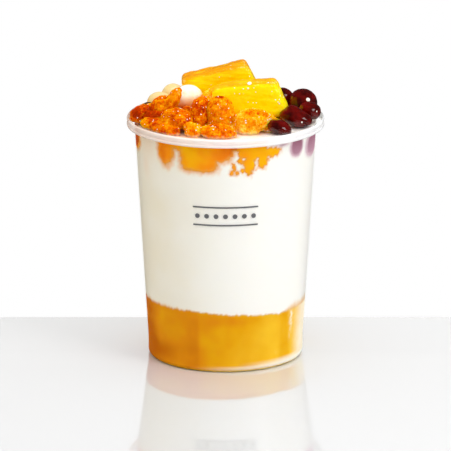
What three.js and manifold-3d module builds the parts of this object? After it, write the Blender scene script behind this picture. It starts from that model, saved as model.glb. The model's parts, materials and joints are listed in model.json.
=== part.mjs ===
// A peach gum and tapioca dessert in a clear takeaway cup: amber jelly below, milk above it, and on
// top a heap of peach gum, mango, rice balls and tapioca pearls.
// Millimetres, +Z up, the origin under the middle of the cup's foot. The front is -Y.
import * as THREE from "three";
import { mergeVertices } from "three/addons/utils/BufferGeometryUtils.js";
import Module from "manifold-3d";

const wasm = await Module();
wasm.setup();

// ---- Driving dimensions ----

const CUP_HEIGHT = 112;
const RIM_RADIUS = 45; // outside of the lip, for the usual 90 mm lid
const SHOULDER_RADIUS = 41.7; // outside of the wall, level with the end of the lip's skirt
const BASE_RADIUS = 35.4; // outside of the wall, carried straight down to the table
const WALL = 0.9;
const LIP_DROP = 4; // how far the lip's skirt hangs below the rim
const LIP_THICKNESS = 1;
const LIP_TOP = 1.5; // thickness of the lip's flat top
const LIP_WAIST = 0.5; // depth of the groove between the lip's bead and its skirt
const LIP_BEAD = 1; // height of the bead along the skirt's end
const MOUTH_ROUND = 0.5; // inside edge of the mouth
const FOOT_CORNER = 2.4;
const FOOT_WIDTH = 3;
const FOOT_RECESS = 0.8;
const FLOOR_TOP = 2.6; // height of the inside floor
const FLOOR_CORNER = 2.2;

const GAP = 0.3; // air between pieces that touch
const SEGMENTS = 36; // round the cup and what fills it
const HALFWAY = 0.6; // where a level surface has its middle ring, as a share of the way to the wall
const NEAR_WALL = 0.95;

const JELLY_LEVEL = 27.8; // where the amber jelly meets the milk
const JELLY_TILT = 1.5; // how much higher it lies on the left
const JELLY_RIPPLE = 0.45;
const MILK_LEVEL = 110.3;
const MENISCUS = 0.5; // how far the milk climbs at the wall
const MENISCUS_REACH = 1.5;

const BUMPS = 11; // knobs and dents on each lump, turn and turn about
const KNOB_SHARE = 1.3; // how strongly a knob stands out
const DENT_SHARE = -0.9; // and how strongly a dent goes in
const BUMP_SPREAD = { broadest: 3, narrowest: 9 };
const FRUIT_WAVES = { along: 0.5, across: 0.3 }; // radians for each millimetre of a cut face

// ---- Materials, one for each kind of food ----

function material(color, roughness, more = {}) {
  return new THREE.MeshStandardMaterial({ color, roughness, metalness: 0, ...more });
}

const CLEAR_PLASTIC = material("#f4f6f6", 0.12, { transparent: true, opacity: 0.28 });
const AMBER_JELLY = material("#e39a14", 0.25);
const MILK = material("#f6f2ea", 0.35);
const MANGO = material("#ffd105", 0.22);
const RICE_BALL = material("#fbf0d2", 0.4);
const TAPIOCA = material("#4a0d06", 0.12);
const PEACH_GUM = material("#e87f0c", 0.15);
const DARK_GUM = material("#b63c06", 0.15);

// ---- The cup's lines ----

const SKIRT_END = CUP_HEIGHT - LIP_DROP;
const outerRadius = (z) => BASE_RADIUS + ((SHOULDER_RADIUS - BASE_RADIUS) * z) / SKIRT_END;
const innerRadius = (z) => outerRadius(z) - WALL;

// Points of a round stretch of outline, as [radius, height] pairs.
function arc(radius, height, bend, fromDegrees, toDegrees, steps) {
  return Array.from({ length: steps + 1 }, (_, i) => {
    const angle = THREE.MathUtils.degToRad(fromDegrees + ((toDegrees - fromDegrees) * i) / steps);
    return [radius + bend * Math.cos(angle), height + bend * Math.sin(angle)];
  });
}

// A solid of revolution about Z from [radius, height] pairs that run anticlockwise.
function turned(outline) {
  const points = outline.map((pair) => new THREE.Vector2(...pair));
  return new THREE.LatheGeometry(points, SEGMENTS).rotateX(Math.PI / 2);
}

function cupGeometry() {
  const footOut = outerRadius(FOOT_CORNER) - FOOT_CORNER;
  const footIn = footOut - FOOT_WIDTH;
  const skirtIn = RIM_RADIUS - LIP_THICKNESS;
  const underLip = CUP_HEIGHT - LIP_TOP;
  const mouth = CUP_HEIGHT - MOUTH_ROUND;
  const floorIn = innerRadius(FLOOR_TOP) - FLOOR_CORNER;
  return turned([
    [0, FOOT_RECESS],
    [footIn - FOOT_RECESS, FOOT_RECESS],
    [footIn, 0],
    ...arc(footOut, FOOT_CORNER, FOOT_CORNER, -90, 0, 3),
    [outerRadius(underLip), underLip],
    [skirtIn - MOUTH_ROUND, underLip],
    [skirtIn, underLip - MOUTH_ROUND],
    [skirtIn, SKIRT_END],
    [RIM_RADIUS, SKIRT_END],
    [RIM_RADIUS, SKIRT_END + LIP_BEAD],
    [RIM_RADIUS - LIP_WAIST, SKIRT_END + LIP_BEAD + LIP_WAIST],
    ...arc(RIM_RADIUS - LIP_THICKNESS, CUP_HEIGHT - LIP_THICKNESS, LIP_THICKNESS, 0, 90, 2),
    ...arc(innerRadius(mouth) + MOUTH_ROUND, mouth, MOUTH_ROUND, 90, 180, 2),
    ...arc(floorIn, FLOOR_TOP + FLOOR_CORNER, FLOOR_CORNER, 0, -90, 3),
    [0, FLOOR_TOP],
  ]);
}

// ---- What fills the cup ----

const jellyTop = (angle, radius) =>
  JELLY_LEVEL -
  (JELLY_TILT * radius * Math.cos(angle)) / BASE_RADIUS +
  JELLY_RIPPLE * Math.sin(3 * angle + 0.6) * Math.sin((2 * radius) / BASE_RADIUS);

const milkTop = (angle, radius) =>
  MILK_LEVEL + MENISCUS * Math.exp((radius - innerRadius(MILK_LEVEL)) / MENISCUS_REACH);

// A closed solid through rings, from a point on the axis below to a point on the axis above. Each ring
// is a function that gives its [radius, height] at an angle.
function stacked(rings) {
  const positions = [];
  const rows = rings.map((ring, row) => {
    const onAxis = row === 0 || row === rings.length - 1;
    return Array.from({ length: onAxis ? 1 : SEGMENTS }, (_, i) => {
      const angle = (2 * Math.PI * i) / SEGMENTS;
      const [radius, height] = ring(angle);
      positions.push(radius * Math.cos(angle), radius * Math.sin(angle), height);
      return positions.length / 3 - 1;
    });
  });
  const indices = [];
  for (let row = 0; row + 1 < rows.length; row++) {
    const low = rows[row];
    const high = rows[row + 1];
    for (let i = 0; i < SEGMENTS; i++) {
      const [a, b] = [i, i + 1].map((step) => low[step % low.length]);
      const [c, d] = [i, i + 1].map((step) => high[step % high.length]);
      if (low.length > 1) indices.push(a, b, d);
      if (high.length > 1) indices.push(a, d, c);
    }
  }
  const geometry = new THREE.BufferGeometry();
  geometry.setAttribute("position", new THREE.Float32BufferAttribute(positions, 3));
  return geometry.setIndex(indices);
}

// A ring of a level surface, a share of the way from the axis to the wall.
function levelRing(surface, level, share, lift = 0) {
  const radius = share * (innerRadius(level) - GAP);
  return (angle) => [radius, surface(angle, radius) + lift];
}

// The ring where a level surface meets the wall, which leans outwards as it rises.
function wallRing(surface, level, lift = 0) {
  return (angle) => {
    const height = surface(angle, innerRadius(level) - GAP) + lift;
    return [innerRadius(height) - GAP, height];
  };
}

function jellyGeometry() {
  const bottom = FLOOR_TOP + GAP;
  const corner = arc(
    innerRadius(FLOOR_TOP) - FLOOR_CORNER - GAP, bottom + FLOOR_CORNER, FLOOR_CORNER, -90, 0, 3,
  );
  return stacked([
    () => [0, bottom],
    ...corner.map((point) => () => point),
    wallRing(jellyTop, JELLY_LEVEL),
    levelRing(jellyTop, JELLY_LEVEL, HALFWAY),
    () => [0, JELLY_LEVEL],
  ]);
}

function milkGeometry() {
  return stacked([
    () => [0, JELLY_LEVEL + GAP],
    levelRing(jellyTop, JELLY_LEVEL, HALFWAY, GAP),
    wallRing(jellyTop, JELLY_LEVEL, GAP),
    wallRing(milkTop, MILK_LEVEL),
    levelRing(milkTop, MILK_LEVEL, NEAR_WALL),
    () => [0, MILK_LEVEL],
  ]);
}

// ---- Shapes of the toppings ----

// Random numbers that come out the same each time for a seed.
function seeded(seed) {
  let state = seed * 2654435761;
  return () => {
    state = (state + 0x6d2b79f5) | 0;
    let t = Math.imul(state ^ (state >>> 15), 1 | state);
    t = (t + Math.imul(t ^ (t >>> 7), 61 | t)) ^ t;
    return ((t ^ (t >>> 14)) >>> 0) / 4294967296;
  };
}

function randomDirection(random) {
  const up = 2 * random() - 1;
  const angle = 2 * Math.PI * random();
  const flat = Math.sqrt(1 - up * up);
  return new THREE.Vector3(flat * Math.cos(angle), flat * Math.sin(angle), up);
}

function withoutSeams(geometry, tolerance) {
  return mergeVertices(geometry.deleteAttribute("normal").deleteAttribute("uv"), tolerance);
}

// Moves each vertex of a geometry, then pitches it about X, rolls it about Y, turns it about Z and
// places it.
function shaped(geometry, { at, turn = 0, roll = 0, pitch = 0 }, move) {
  const merged = withoutSeams(geometry, 1e-5);
  const position = merged.getAttribute("position");
  for (let i = 0; i < position.count; i++) {
    const { x, y, z } = move(new THREE.Vector3().fromBufferAttribute(position, i));
    position.setXYZ(i, x, y, z);
  }
  const angles = [pitch, roll, turn].map(THREE.MathUtils.degToRad);
  const place = new THREE.Matrix4().makeRotationFromEuler(new THREE.Euler(...angles, "ZYX"));
  return merged.applyMatrix4(place.setPosition(...at));
}

const halfOf = (piece) => new THREE.Vector3(...piece.size).multiplyScalar(0.5);

// A ball pushed in and out by knobs and dents. knobs is how far they go, as a share of its size, and
// fine is how many times its edges are split. grow makes it that much thicker all round.
function lump(piece, grow) {
  const { seed, knobs, fine } = piece;
  const half = halfOf(piece);
  const random = seeded(seed);
  const bumps = Array.from({ length: BUMPS }, (_, i) => ({
    towards: randomDirection(random),
    height: knobs * (i % 2 ? KNOB_SHARE : DENT_SHARE) * (0.5 + random()),
    narrow: THREE.MathUtils.lerp(BUMP_SPREAD.broadest, BUMP_SPREAD.narrowest, random()),
  }));
  return shaped(new THREE.IcosahedronGeometry(1, fine), piece, (vertex) => {
    const push = ({ towards, height, narrow }) => height * Math.exp(narrow * (towards.dot(vertex) - 1));
    const swell = bumps.reduce((sum, bump) => sum + push(bump), 1);
    const outwards = vertex.clone().divide(half).normalize();
    return vertex.multiply(half).multiplyScalar(swell).addScaledVector(outwards, grow);
  });
}

// A lump laid against the inside of the cup's wall and bent to it, at an angle round from the front
// and so many millimetres below the milk's level.
function wallLump(piece, grow) {
  const { angle, below, ...rest } = piece;
  const level = MILK_LEVEL - below;
  const geometry = lump({ ...rest, at: [0, 0, level] }, grow);
  const position = geometry.getAttribute("position");
  for (let i = 0; i < position.count; i++) {
    const height = position.getZ(i);
    const radius = innerRadius(height) - position.getY(i);
    const round = THREE.MathUtils.degToRad(angle) + position.getX(i) / innerRadius(level);
    position.setXYZ(i, radius * Math.sin(round), -radius * Math.cos(round), height);
  }
  return geometry;
}

// A slab of fruit with rounded edges and wavy faces. Its right-hand end is cut at a slant and its
// left-hand end droops, both by so many millimetres at the top.
function slab(piece, grow) {
  const { corner, slant = 0, droop = 0, wave = 0.25 } = piece;
  const { along, across } = FRUIT_WAVES;
  const half = halfOf(piece);
  const core = half.clone().subScalar(corner);
  const crowded = (t) => Math.sin((t * Math.PI) / 2); // brings the faces closer together at the edges
  return shaped(new THREE.BoxGeometry(2, 2, 2, 7, 4, 4), piece, ({ x, y, z }) => {
    const point = new THREE.Vector3(...[x, y, z].map(crowded)).multiply(half);
    const inside = point.clone().clamp(core.clone().negate(), core);
    point.sub(inside).setLength(corner + grow).add(inside);
    const rise = 0.5 + point.z / piece.size[2];
    point.z -= droop * rise * THREE.MathUtils.smoothstep(-point.x, 0.4 * half.x, half.x);
    point.x -= slant * rise * THREE.MathUtils.smoothstep(point.x, 0, half.x);
    point.y += wave * Math.sin(along * point.x + across * point.z);
    point.z += wave * Math.sin(along * point.x + across * point.y + 1);
    return point;
  });
}

// ---- The toppings ----
// Each says where its middle lies, counted up from the milk's level, its full width, depth and height,
// and how it is turned.

// Names and seeds a row of like pieces, each made of one lump or of several that have grown together.
function row(name, firstSeed, common, list) {
  return list.map((entry, i) => {
    const lumps = [entry].flat();
    return {
      name: list.length > 1 ? `${name}_${i + 1}` : name,
      material: lumps[0].material ?? common.material,
      lumps: lumps.map(({ at: [x, y, above] = [0, 0, 0], ...one }, k) => ({
        ...common, seed: firstSeed + i + 100 * k, at: [x, y, MILK_LEVEL + above], ...one,
      })),
    };
  });
}

const mangoes = row("mango", 1, { make: slab, material: MANGO }, [
  {
    at: [10.3, -5, 10.7], size: [38.6, 13, 17.2], roll: -4, turn: -3, pitch: -4, corner: 3,
    slant: 6, droop: 3,
  },
  { at: [-1.9, 18, 11.5], size: [34.4, 14, 17], roll: -13.5, turn: 2, corner: 2.4, slant: 3.5 },
]);

const riceBalls = row("rice_ball", 50, { make: lump, material: RICE_BALL, knobs: 0.02, fine: 2 }, [
  { at: [-16.9, 3.6, 8.9], size: [13.2, 12.6, 12.4] },
  { at: [-24, 14.2, 7.7], size: [10.6, 10.4, 10.6] },
  { at: [-30.2, 5.2, 5.9], size: [11.4, 10.8, 11] },
  { at: [-28.4, 22.4, 1.5], size: [10.6, 10.6, 10.2], fine: 1 },
]);

const pearls = row("pearl", 80, { make: lump, material: TAPIOCA, knobs: 0.06, fine: 2 }, [
  { at: [24.6, -26.6, 2.8], size: [11, 8.4, 6.8], roll: 24, turn: -14 },
  [
    { at: [32, -15.6, 4.6], size: [15, 9.6, 7.6], roll: 13, turn: -8 },
    { at: [30.8, -14.6, 6.9], size: [8, 7, 6.2], roll: 24, fine: 1 },
  ],
  { at: [38.4, -6.8, 5.7], size: [10.2, 9, 7.6], roll: 18, turn: 12, knobs: 0.1 },
  { at: [35.2, 2.6, 6.9], size: [13, 12.8, 12.8], knobs: 0.01 },
  { at: [26, 8.8, 7.5], size: [9.4, 9.2, 10], pitch: 10, fine: 1 },
  { at: [-34.6, -1.6, 4.6], size: [8, 7.2, 7.4], fine: 1 },
  { at: [27.4, 20.4, 2.5], size: [10, 9.6, 9], fine: 1 },
  { at: [36.2, 14.2, 2.3], size: [9.2, 10, 9], fine: 1 },
  { at: [28.4, -3.4, 3.1], size: [9, 8.4, 8.6], fine: 1 },
  { at: [20.4, 9.4, 6.3], size: [9.6, 9.4, 9.4], fine: 1 },
  { at: [31.4, 13, 3.6], size: [9.2, 9, 9], fine: 1 },
]);

// Pearls that show through the wall.
const wallPearls = row("pearl_wall", 70, { make: wallLump, material: TAPIOCA, knobs: 0.05, fine: 1 }, [
  { angle: 53, below: 6.5, size: [9.6, 9, 10.2] },
  { angle: 76, below: 9.1, size: [11.4, 9, 12] },
]);

const gumLumps = row("gum", 11, { make: lump, material: PEACH_GUM, knobs: 0.17, fine: 1 }, [
  { at: [-38.2, -9.6, 4.7], size: [10.6, 9, 6.4], roll: -38, material: DARK_GUM },
  { at: [-31.4, -14.2, 3.8], size: [9, 8.4, 7.6], material: DARK_GUM },
  [
    { at: [-32.6, -20.6, 2.3], size: [14, 8.6, 5.6], turn: -52 },
    { at: [-26.4, -27.2, 1.9], size: [14.4, 8.6, 5.8], turn: -36 },
  ],
  [
    { at: [-28.4, -8.6, 7.5], size: [11.4, 10, 10.4], roll: 16, fine: 2 },
    { at: [-23.8, -9.8, 11.7], size: [5.6, 6.2, 12.6], roll: 30, knobs: 0.1 },
    { at: [-34, -8.6, 6.1], size: [6.6, 7, 6] },
  ],
  { at: [-21.6, -22.2, 4.9], size: [13, 12, 10.6], roll: 8, fine: 2 },
  { at: [-17.4, -14.4, 5.9], size: [7, 7, 7.4], material: DARK_GUM },
  { at: [-11.6, -18, 7.3], size: [10, 10.6, 15.4], roll: 8, material: DARK_GUM, fine: 2 },
  { at: [-2.4, -19.6, 8], size: [12.4, 11.4, 15.6], fine: 2 },
  { at: [-14, -30.6, 2.1], size: [8.4, 8, 7.2] },
  { at: [-4.4, -33, 1.9], size: [15.4, 9.4, 6.8], material: DARK_GUM },
  { at: [11, -24.4, 5], size: [15.6, 12.4, 11.8], fine: 2 },
  { at: [19.6, -22, 3.5], size: [8.4, 9, 9.4] },
  { at: [-19.6, 28, 2.9], size: [15.4, 11.4, 10.4] },
  { at: [-6, 32.2, 2.7], size: [14.6, 10, 9], material: DARK_GUM },
  { at: [7.4, 30, 3.9], size: [14.4, 11.6, 11] },
  { at: [19.6, 27.8, 2.7], size: [12.4, 11, 9.6] },
  { at: [-37, 10, 1.3], size: [7.4, 13, 6.4], turn: -12 },
  { at: [-8.6, -9.4, 8.3], size: [8.4, 7, 13.4], roll: 10 },
  { at: [-1, 6.6, 5.1], size: [15, 9, 8] },
  { at: [12.4, 18.6, 4.1], size: [13, 13, 8.4] },
]);

// Gum that has run down between the milk and the wall.
const wallGum = row("gum_wall", 41, { make: wallLump, material: PEACH_GUM, knobs: 0.1, fine: 1 }, [
  [
    { angle: -17, below: 9.7, size: [25.4, 6, 16.4] },
    { angle: -5, below: 7.7, size: [16, 5, 12] },
    { angle: -41.5, below: 7.9, size: [11.8, 5, 13.4] },
  ],
  [
    { angle: 22, below: 5.7, size: [23.4, 5, 7.2] },
    { angle: 18.6, below: 11.1, size: [7.4, 4.6, 12.4] },
    { angle: 28, below: 9.3, size: [6.6, 4.6, 9.4] },
  ],
  { angle: -84, below: 8.1, size: [11, 4.4, 12] },
]);

// The bank of gum that the heap lies in.
const gumBed = row("gum_bed", 7, { make: lump, material: PEACH_GUM, knobs: 0.07, fine: 3 }, [
  { at: [-3, 3, 0.3], size: [71, 60, 11.6] },
]);

// ---- Cutting ----

// A geometry as a solid, without its seams and its faces of no area.
function solidOf(geometry) {
  const { index, attributes } = withoutSeams(geometry.clone(), 1e-3);
  const corners = [];
  for (let i = 0; i < index.count; i += 3) {
    const face = [index.getX(i), index.getX(i + 1), index.getX(i + 2)];
    if (new Set(face).size === 3) corners.push(...face);
  }
  return new wasm.Manifold(
    new wasm.Mesh({
      numProp: 3,
      vertProperties: new Float32Array(attributes.position.array),
      triVerts: new Uint32Array(corners),
    }),
  );
}

function geometryOf(solid) {
  const { vertProperties, triVerts } = solid.getMesh();
  const geometry = new THREE.BufferGeometry();
  geometry.setAttribute("position", new THREE.BufferAttribute(vertProperties, 3));
  return geometry.setIndex(new THREE.BufferAttribute(triVerts, 1));
}

// The largest body of a solid, so that no scrap is left by a cut.
function largest(solid) {
  return solid.decompose().reduce((best, body) => (body.volume() > best.volume() ? body : best));
}

const near = (a, b) => {
  const [p, q] = [a.boundingBox(), b.boundingBox()];
  return [0, 1, 2].every((k) => p.min[k] < q.max[k] && q.min[k] < p.max[k]);
};

const cutBy = (solid, cutters) =>
  largest(cutters.reduce((left, cutter) => (near(left, cutter) ? left.subtract(cutter) : left), solid));

// The room that the cup's wall and lip take up beside the heap, with the gap round them.
function wallRoom() {
  const low = MILK_LEVEL - 30; // below every topping
  const top = CUP_HEIGHT + GAP;
  const beyond = RIM_RADIUS + 10;
  const outline = [
    [innerRadius(low) - GAP, low],
    [beyond, low],
    [beyond, top],
    [innerRadius(CUP_HEIGHT) + GAP, top],
    [innerRadius(CUP_HEIGHT) - GAP, CUP_HEIGHT - MOUTH_ROUND],
  ];
  return solidOf(turned([...outline, outline[0]]));
}

// ---- The dessert ----

const dessert = new THREE.Group();

function add(name, geometry, finish) {
  const mesh = new THREE.Mesh(geometry, finish);
  mesh.name = name;
  dessert.add(mesh);
}

add("cup", cupGeometry(), CLEAR_PLASTIC);
add("amber_jelly", jellyGeometry(), AMBER_JELLY);

// Firm pieces keep their shape, and each softer one gives way to those before it.
const toppings = [mangoes, riceBalls, gumBed, pearls, wallPearls, gumLumps, wallGum].flat();
const fused = ({ lumps }, grow) =>
  lumps.map((one) => solidOf(one.make(one, grow))).reduce((sum, part) => sum.add(part));
const taken = [wallRoom()];
for (const piece of toppings) {
  add(piece.name, geometryOf(cutBy(fused(piece, 0), taken)), piece.material);
  taken.push(fused(piece, GAP));
}
add("milk", geometryOf(cutBy(solidOf(milkGeometry()), taken.slice(1))), MILK);

export default dessert;
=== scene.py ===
"""A peach gum and tapioca dessert in a clear takeaway cup, dressed round its solids.

Metres, +Z up, the origin under the middle of the cup's foot. The front is -Y.
"""

import json
import math

import bmesh
import bpy
import numpy as np
from bpy.props import FloatProperty, FloatVectorProperty, IntProperty, PointerProperty
from mathutils import Matrix, Vector, noise
from mathutils.bvhtree import BVHTree

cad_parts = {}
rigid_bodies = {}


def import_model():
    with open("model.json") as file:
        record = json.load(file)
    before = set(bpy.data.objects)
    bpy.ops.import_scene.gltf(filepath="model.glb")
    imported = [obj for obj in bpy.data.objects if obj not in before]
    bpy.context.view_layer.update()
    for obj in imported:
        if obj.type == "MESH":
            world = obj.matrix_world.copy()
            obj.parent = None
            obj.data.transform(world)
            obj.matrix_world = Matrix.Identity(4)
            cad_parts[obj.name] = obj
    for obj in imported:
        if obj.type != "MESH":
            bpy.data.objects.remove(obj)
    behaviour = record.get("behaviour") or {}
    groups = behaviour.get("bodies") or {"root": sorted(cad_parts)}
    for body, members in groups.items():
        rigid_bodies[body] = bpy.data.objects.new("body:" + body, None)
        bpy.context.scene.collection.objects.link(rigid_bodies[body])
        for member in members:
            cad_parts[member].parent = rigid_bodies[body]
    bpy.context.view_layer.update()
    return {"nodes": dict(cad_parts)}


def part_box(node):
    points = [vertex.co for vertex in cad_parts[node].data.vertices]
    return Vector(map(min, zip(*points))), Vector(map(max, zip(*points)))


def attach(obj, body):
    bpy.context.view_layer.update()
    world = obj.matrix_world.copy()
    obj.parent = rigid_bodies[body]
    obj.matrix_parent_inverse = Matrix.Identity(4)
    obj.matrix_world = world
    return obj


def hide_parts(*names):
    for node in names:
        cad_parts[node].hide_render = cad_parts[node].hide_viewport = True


bl_info = {
    "name": "Peach gum and tapioca dessert",
    "version": (1, 0, 0),
    "blender": (4, 5, 0),
    "location": "3D Viewport > Sidebar > Dessert",
    "description": "Fills a clear takeaway cup with amber jelly, milk and a heap of toppings",
    "category": "Object",
}

MM = 0.001

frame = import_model()
CUP_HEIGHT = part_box("cup")[1].z
RIM_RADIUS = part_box("cup")[1].x

# ---- The cup's lines, as the moulder draws them ----

SHOULDER_RADIUS = 41.7 * MM  # outside of the wall, level with the end of the lip's skirt
BASE_RADIUS = 35.4 * MM  # outside of the wall, carried straight down to the table
WALL = 0.9 * MM
LIP_DROP = 4 * MM  # how far the lip's skirt hangs below the rim
WALL_SLOPE = (SHOULDER_RADIUS - BASE_RADIUS) / (CUP_HEIGHT - LIP_DROP)
LIP_THICKNESS = 1 * MM
LIP_TOP = 1.5 * MM
LIP_WAIST = 0.5 * MM
LIP_BEAD = 1 * MM
MOUTH_ROUND = 0.5 * MM
FOOT_CORNER = 2.4 * MM
FOOT_WIDTH = 3 * MM
FOOT_RECESS = 0.8 * MM
FLOOR_TOP = 2.6 * MM
FLOOR_CORNER = 2.2 * MM
INTO_WALL = 0.45 * MM  # how far what fills the cup reaches into the wall, so that no air shows
MENISCUS = 0.5 * MM
MENISCUS_REACH = 1.5 * MM


def linear(hex_colour):
    """An sRGB hex colour as linear red, green, blue and alpha."""
    parts = [int(hex_colour[i : i + 2], 16) / 255 for i in (1, 3, 5)]
    return (*(c / 12.92 if c <= 0.04045 else ((c + 0.055) / 1.055) ** 2.4 for c in parts), 1.0)


def length(name, size, description):
    return FloatProperty(
        name=name, description=description, default=size, min=0, unit="LENGTH", precision=5,
    )


def colour(name, hex_colour, description):
    return FloatVectorProperty(
        name=name, description=description, default=linear(hex_colour), size=4, min=0, max=1,
        subtype="COLOR",
    )


# ---- Settings ----


class CupSettings(bpy.types.PropertyGroup):
    """The clear cup and the plain ornament printed on it."""

    steps_round: IntProperty(name="Steps round", description="Faces round the cup", default=240, min=24)
    plastic: colour("Plastic", "#ffffff", "Colour of the thick, whitish plastic of the lip")
    ink: colour("Ink", "#5c5c5e", "Colour of the printed ornament")
    dot: length("Dot", 2.2 * MM, "Width of a printed dot")
    dot_count: IntProperty(name="Dots", description="How many dots the ornament has", default=7, min=1)
    dot_pitch: length("Dot pitch", 4.3 * MM, "From one dot to the next")
    line_long: length("Line", 30 * MM, "Length of each printed line")


class FillingSettings(bpy.types.PropertyGroup):
    """The amber jelly and the milk."""

    jelly_level: length("Jelly level", 27.8 * MM, "Height of the jelly where it meets the milk")
    jelly_tilt: length("Jelly tilt", 1.5 * MM, "How much higher the jelly lies on the left")
    milk_level: length("Milk level", 110.3 * MM, "Height of the milk")
    # Painted light and shade: deep jelly is painted on the shaded left, bright jelly on the lit right and
    # along the foot.
    jelly_deep: colour("Deep jelly", "#c26403", "Jelly where it is thickest")
    jelly_middle: colour("Jelly", "#e8a60e", "Jelly in general")
    jelly_bright: colour("Bright jelly", "#fddb7c", "Jelly where light comes through")
    milk_white: colour("Milk", "#fbf9f4", "Milk in general")
    # Painted shade: the milk's darker, warmer colour on its shaded left side.
    milk_cream: colour("Creamy milk", "#f1e8d2", "Milk that syrup has mixed into")
    stain_gum: colour("Gum in milk", "#f0a044", "Milk beside the peach gum")
    stain_pearl: colour("Pearl in milk", "#d9bcc6", "Milk beside the tapioca")


class ToppingSettings(bpy.types.PropertyGroup):
    """The heap of toppings."""

    skin: length("Skin", 0.33 * MM, "Fineness of the toppings' surface")
    gum_lump: length("Gum lumps", 2.9 * MM, "Size of the folds in a piece of gum")
    gum_grain: length("Gum grains", 1.05 * MM, "Size of the grains on a piece of gum")
    # The gum's colours. Deep is also painted shade in the folds, bright is painted light in thin parts and
    # pale is painted light on raised grains.
    gum_deep: colour("Deep gum", "#9c2a00", "Gum in its folds")
    gum_red: colour("Red gum", "#bc4c00", "Gum where it is thick")
    gum_middle: colour("Gum", "#da8200", "Gum in general")
    gum_bright: colour("Bright gum", "#f2ac0c", "Gum at its thin edges")
    gum_pale: colour("Pale gum", "#fcd456", "Grains that catch the light")
    mango_deep: colour("Deep mango", "#e69400", "Mango near its skin")
    mango_middle: colour("Mango", "#fbc000", "Mango flesh")
    mango_bright: colour("Bright mango", "#ffdd00", "Mango where it is wet")
    rice: colour("Rice ball", "#fef5e2", "Glutinous rice dough")
    tapioca: colour("Tapioca", "#340201", "Boiled tapioca")
    tapioca_thin: colour("Thin tapioca", "#7c0803", "Tapioca where light comes through")


class StageSettings(bpy.types.PropertyGroup):
    """The table, the light and the camera."""

    elevation: FloatProperty(name="Elevation", description="Camera above the horizon",
                             default=math.radians(15.4), unit="ROTATION")
    distance: length("Distance", 2.49, "From the camera to what it is aimed at")
    aim: length("Aim", 60 * MM, "Height that the camera is aimed at")
    lens: FloatProperty(name="Lens", description="Focal length in mm on a 36 mm sensor", default=433.7)
    table_edge: length("Table edge", 55.5 * MM, "How far behind the cup the table ends")
    table: colour("Table", "#c1c1c1", "Pale glossy table top")
    polish_dip: FloatProperty(name="Dip of the polish", description="How far the polish in front dips",
                              default=math.radians(9), unit="ROTATION")
    key_power: FloatProperty(name="Key light", description="Power of the key light", default=2.25,
                             unit="POWER")
    top_power: FloatProperty(name="Top light", description="Power of the overhead light", default=3.6,
                             unit="POWER")
    room_left: FloatProperty(name="Room, left", description="Brightness of the room on the left",
                             default=1.16)
    room_right: FloatProperty(name="Room, right", description="Brightness of the room on the right",
                              default=1.1)
    mirrored: FloatProperty(name="Mirrored room", description="Brightness of the room in what is glossy",
                            default=0.05)


# ---- Helpers ----


def add(tree, kind, inputs=(), stops=(), **settings):
    """Adds a node. settings are its own, inputs gives each socket a value or what feeds it, and stops
    are a colour ramp's places and colours."""
    made = tree.nodes.new(kind)
    for name, value in settings.items():
        setattr(made, name, value)
    for key, value in dict(inputs).items():
        if isinstance(value, bpy.types.NodeSocket):
            tree.links.new(value, made.inputs[key])
        else:
            made.inputs[key].default_value = value
    if stops:
        elements = made.color_ramp.elements
        for element, (place, tint) in zip(elements, stops):
            element.position, element.color = place, tint
        for place, tint in stops[len(elements) :]:
            elements.new(place).color = tint
    return made


def geometry_tree(name, inputs):
    """A Geometry Nodes tree with named inputs, as (socket type, default), and its input node."""
    tree = bpy.data.node_groups.new(name, "GeometryNodeTree")
    tree.interface.new_socket("Geometry", in_out="INPUT", socket_type="NodeSocketGeometry")
    for title, (kind, value) in inputs.items():
        socket = tree.interface.new_socket(title, in_out="INPUT", socket_type=kind)
        if value is not None:
            socket.default_value = value
    tree.interface.new_socket("Geometry", in_out="OUTPUT", socket_type="NodeSocketGeometry")
    return tree, add(tree, "NodeGroupInput").outputs


def end_tree(tree, geometry, material):
    """Ends a tree with its pieces realized and given their material."""
    real = add(tree, "GeometryNodeRealizeInstances", {"Geometry": geometry})
    painted = add(tree, "GeometryNodeSetMaterial", {"Geometry": real.outputs[0], "Material": material})
    add(tree, "NodeGroupOutput", {"Geometry": painted.outputs[0]})
    return tree


def grow(obj, tree, **values):
    """Gives an object a Geometry Nodes modifier, its inputs set by their identifiers."""
    modifier = obj.modifiers.new(tree.name, "NODES")
    modifier.node_group = tree
    for item in tree.interface.items_tree:
        title = item.name.lower().replace(" ", "_")
        if item.in_out == "INPUT" and title in values:
            modifier[item.identifier] = values.pop(title)
    if values:
        raise ValueError(f"{tree.name} has no input named {sorted(values)}")


def settle(obj):
    """Makes what an object's modifiers show its plain mesh, with its faces pointing out."""
    graph = bpy.context.evaluated_depsgraph_get()
    mesh = bpy.data.meshes.new_from_object(
        obj.evaluated_get(graph), preserve_all_data_layers=True, depsgraph=graph
    )
    obj.modifiers.clear()
    obj.data = mesh
    mesh.name = obj.name
    if volume_of(mesh) < 0:
        mesh.flip_normals()
    return obj


def volume_of(mesh):
    mesh.calc_loop_triangles()
    points = positions(mesh)
    corners = np.empty(len(mesh.loop_triangles) * 3, np.int32)
    mesh.loop_triangles.foreach_get("vertices", corners)
    a, b, c = points[corners.reshape(-1, 3)].transpose(1, 0, 2)
    return float(np.einsum("ij,ij->", a, np.cross(b, c))) / 6


def positions(mesh):
    points = np.empty(len(mesh.vertices) * 3, np.float32)
    mesh.vertices.foreach_get("co", points)
    return points.reshape(-1, 3).astype(float)


def normals_of(mesh):
    normals = np.empty(len(mesh.vertices) * 3, np.float32)
    mesh.vertices.foreach_get("normal", normals)
    return normals.reshape(-1, 3)


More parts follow.
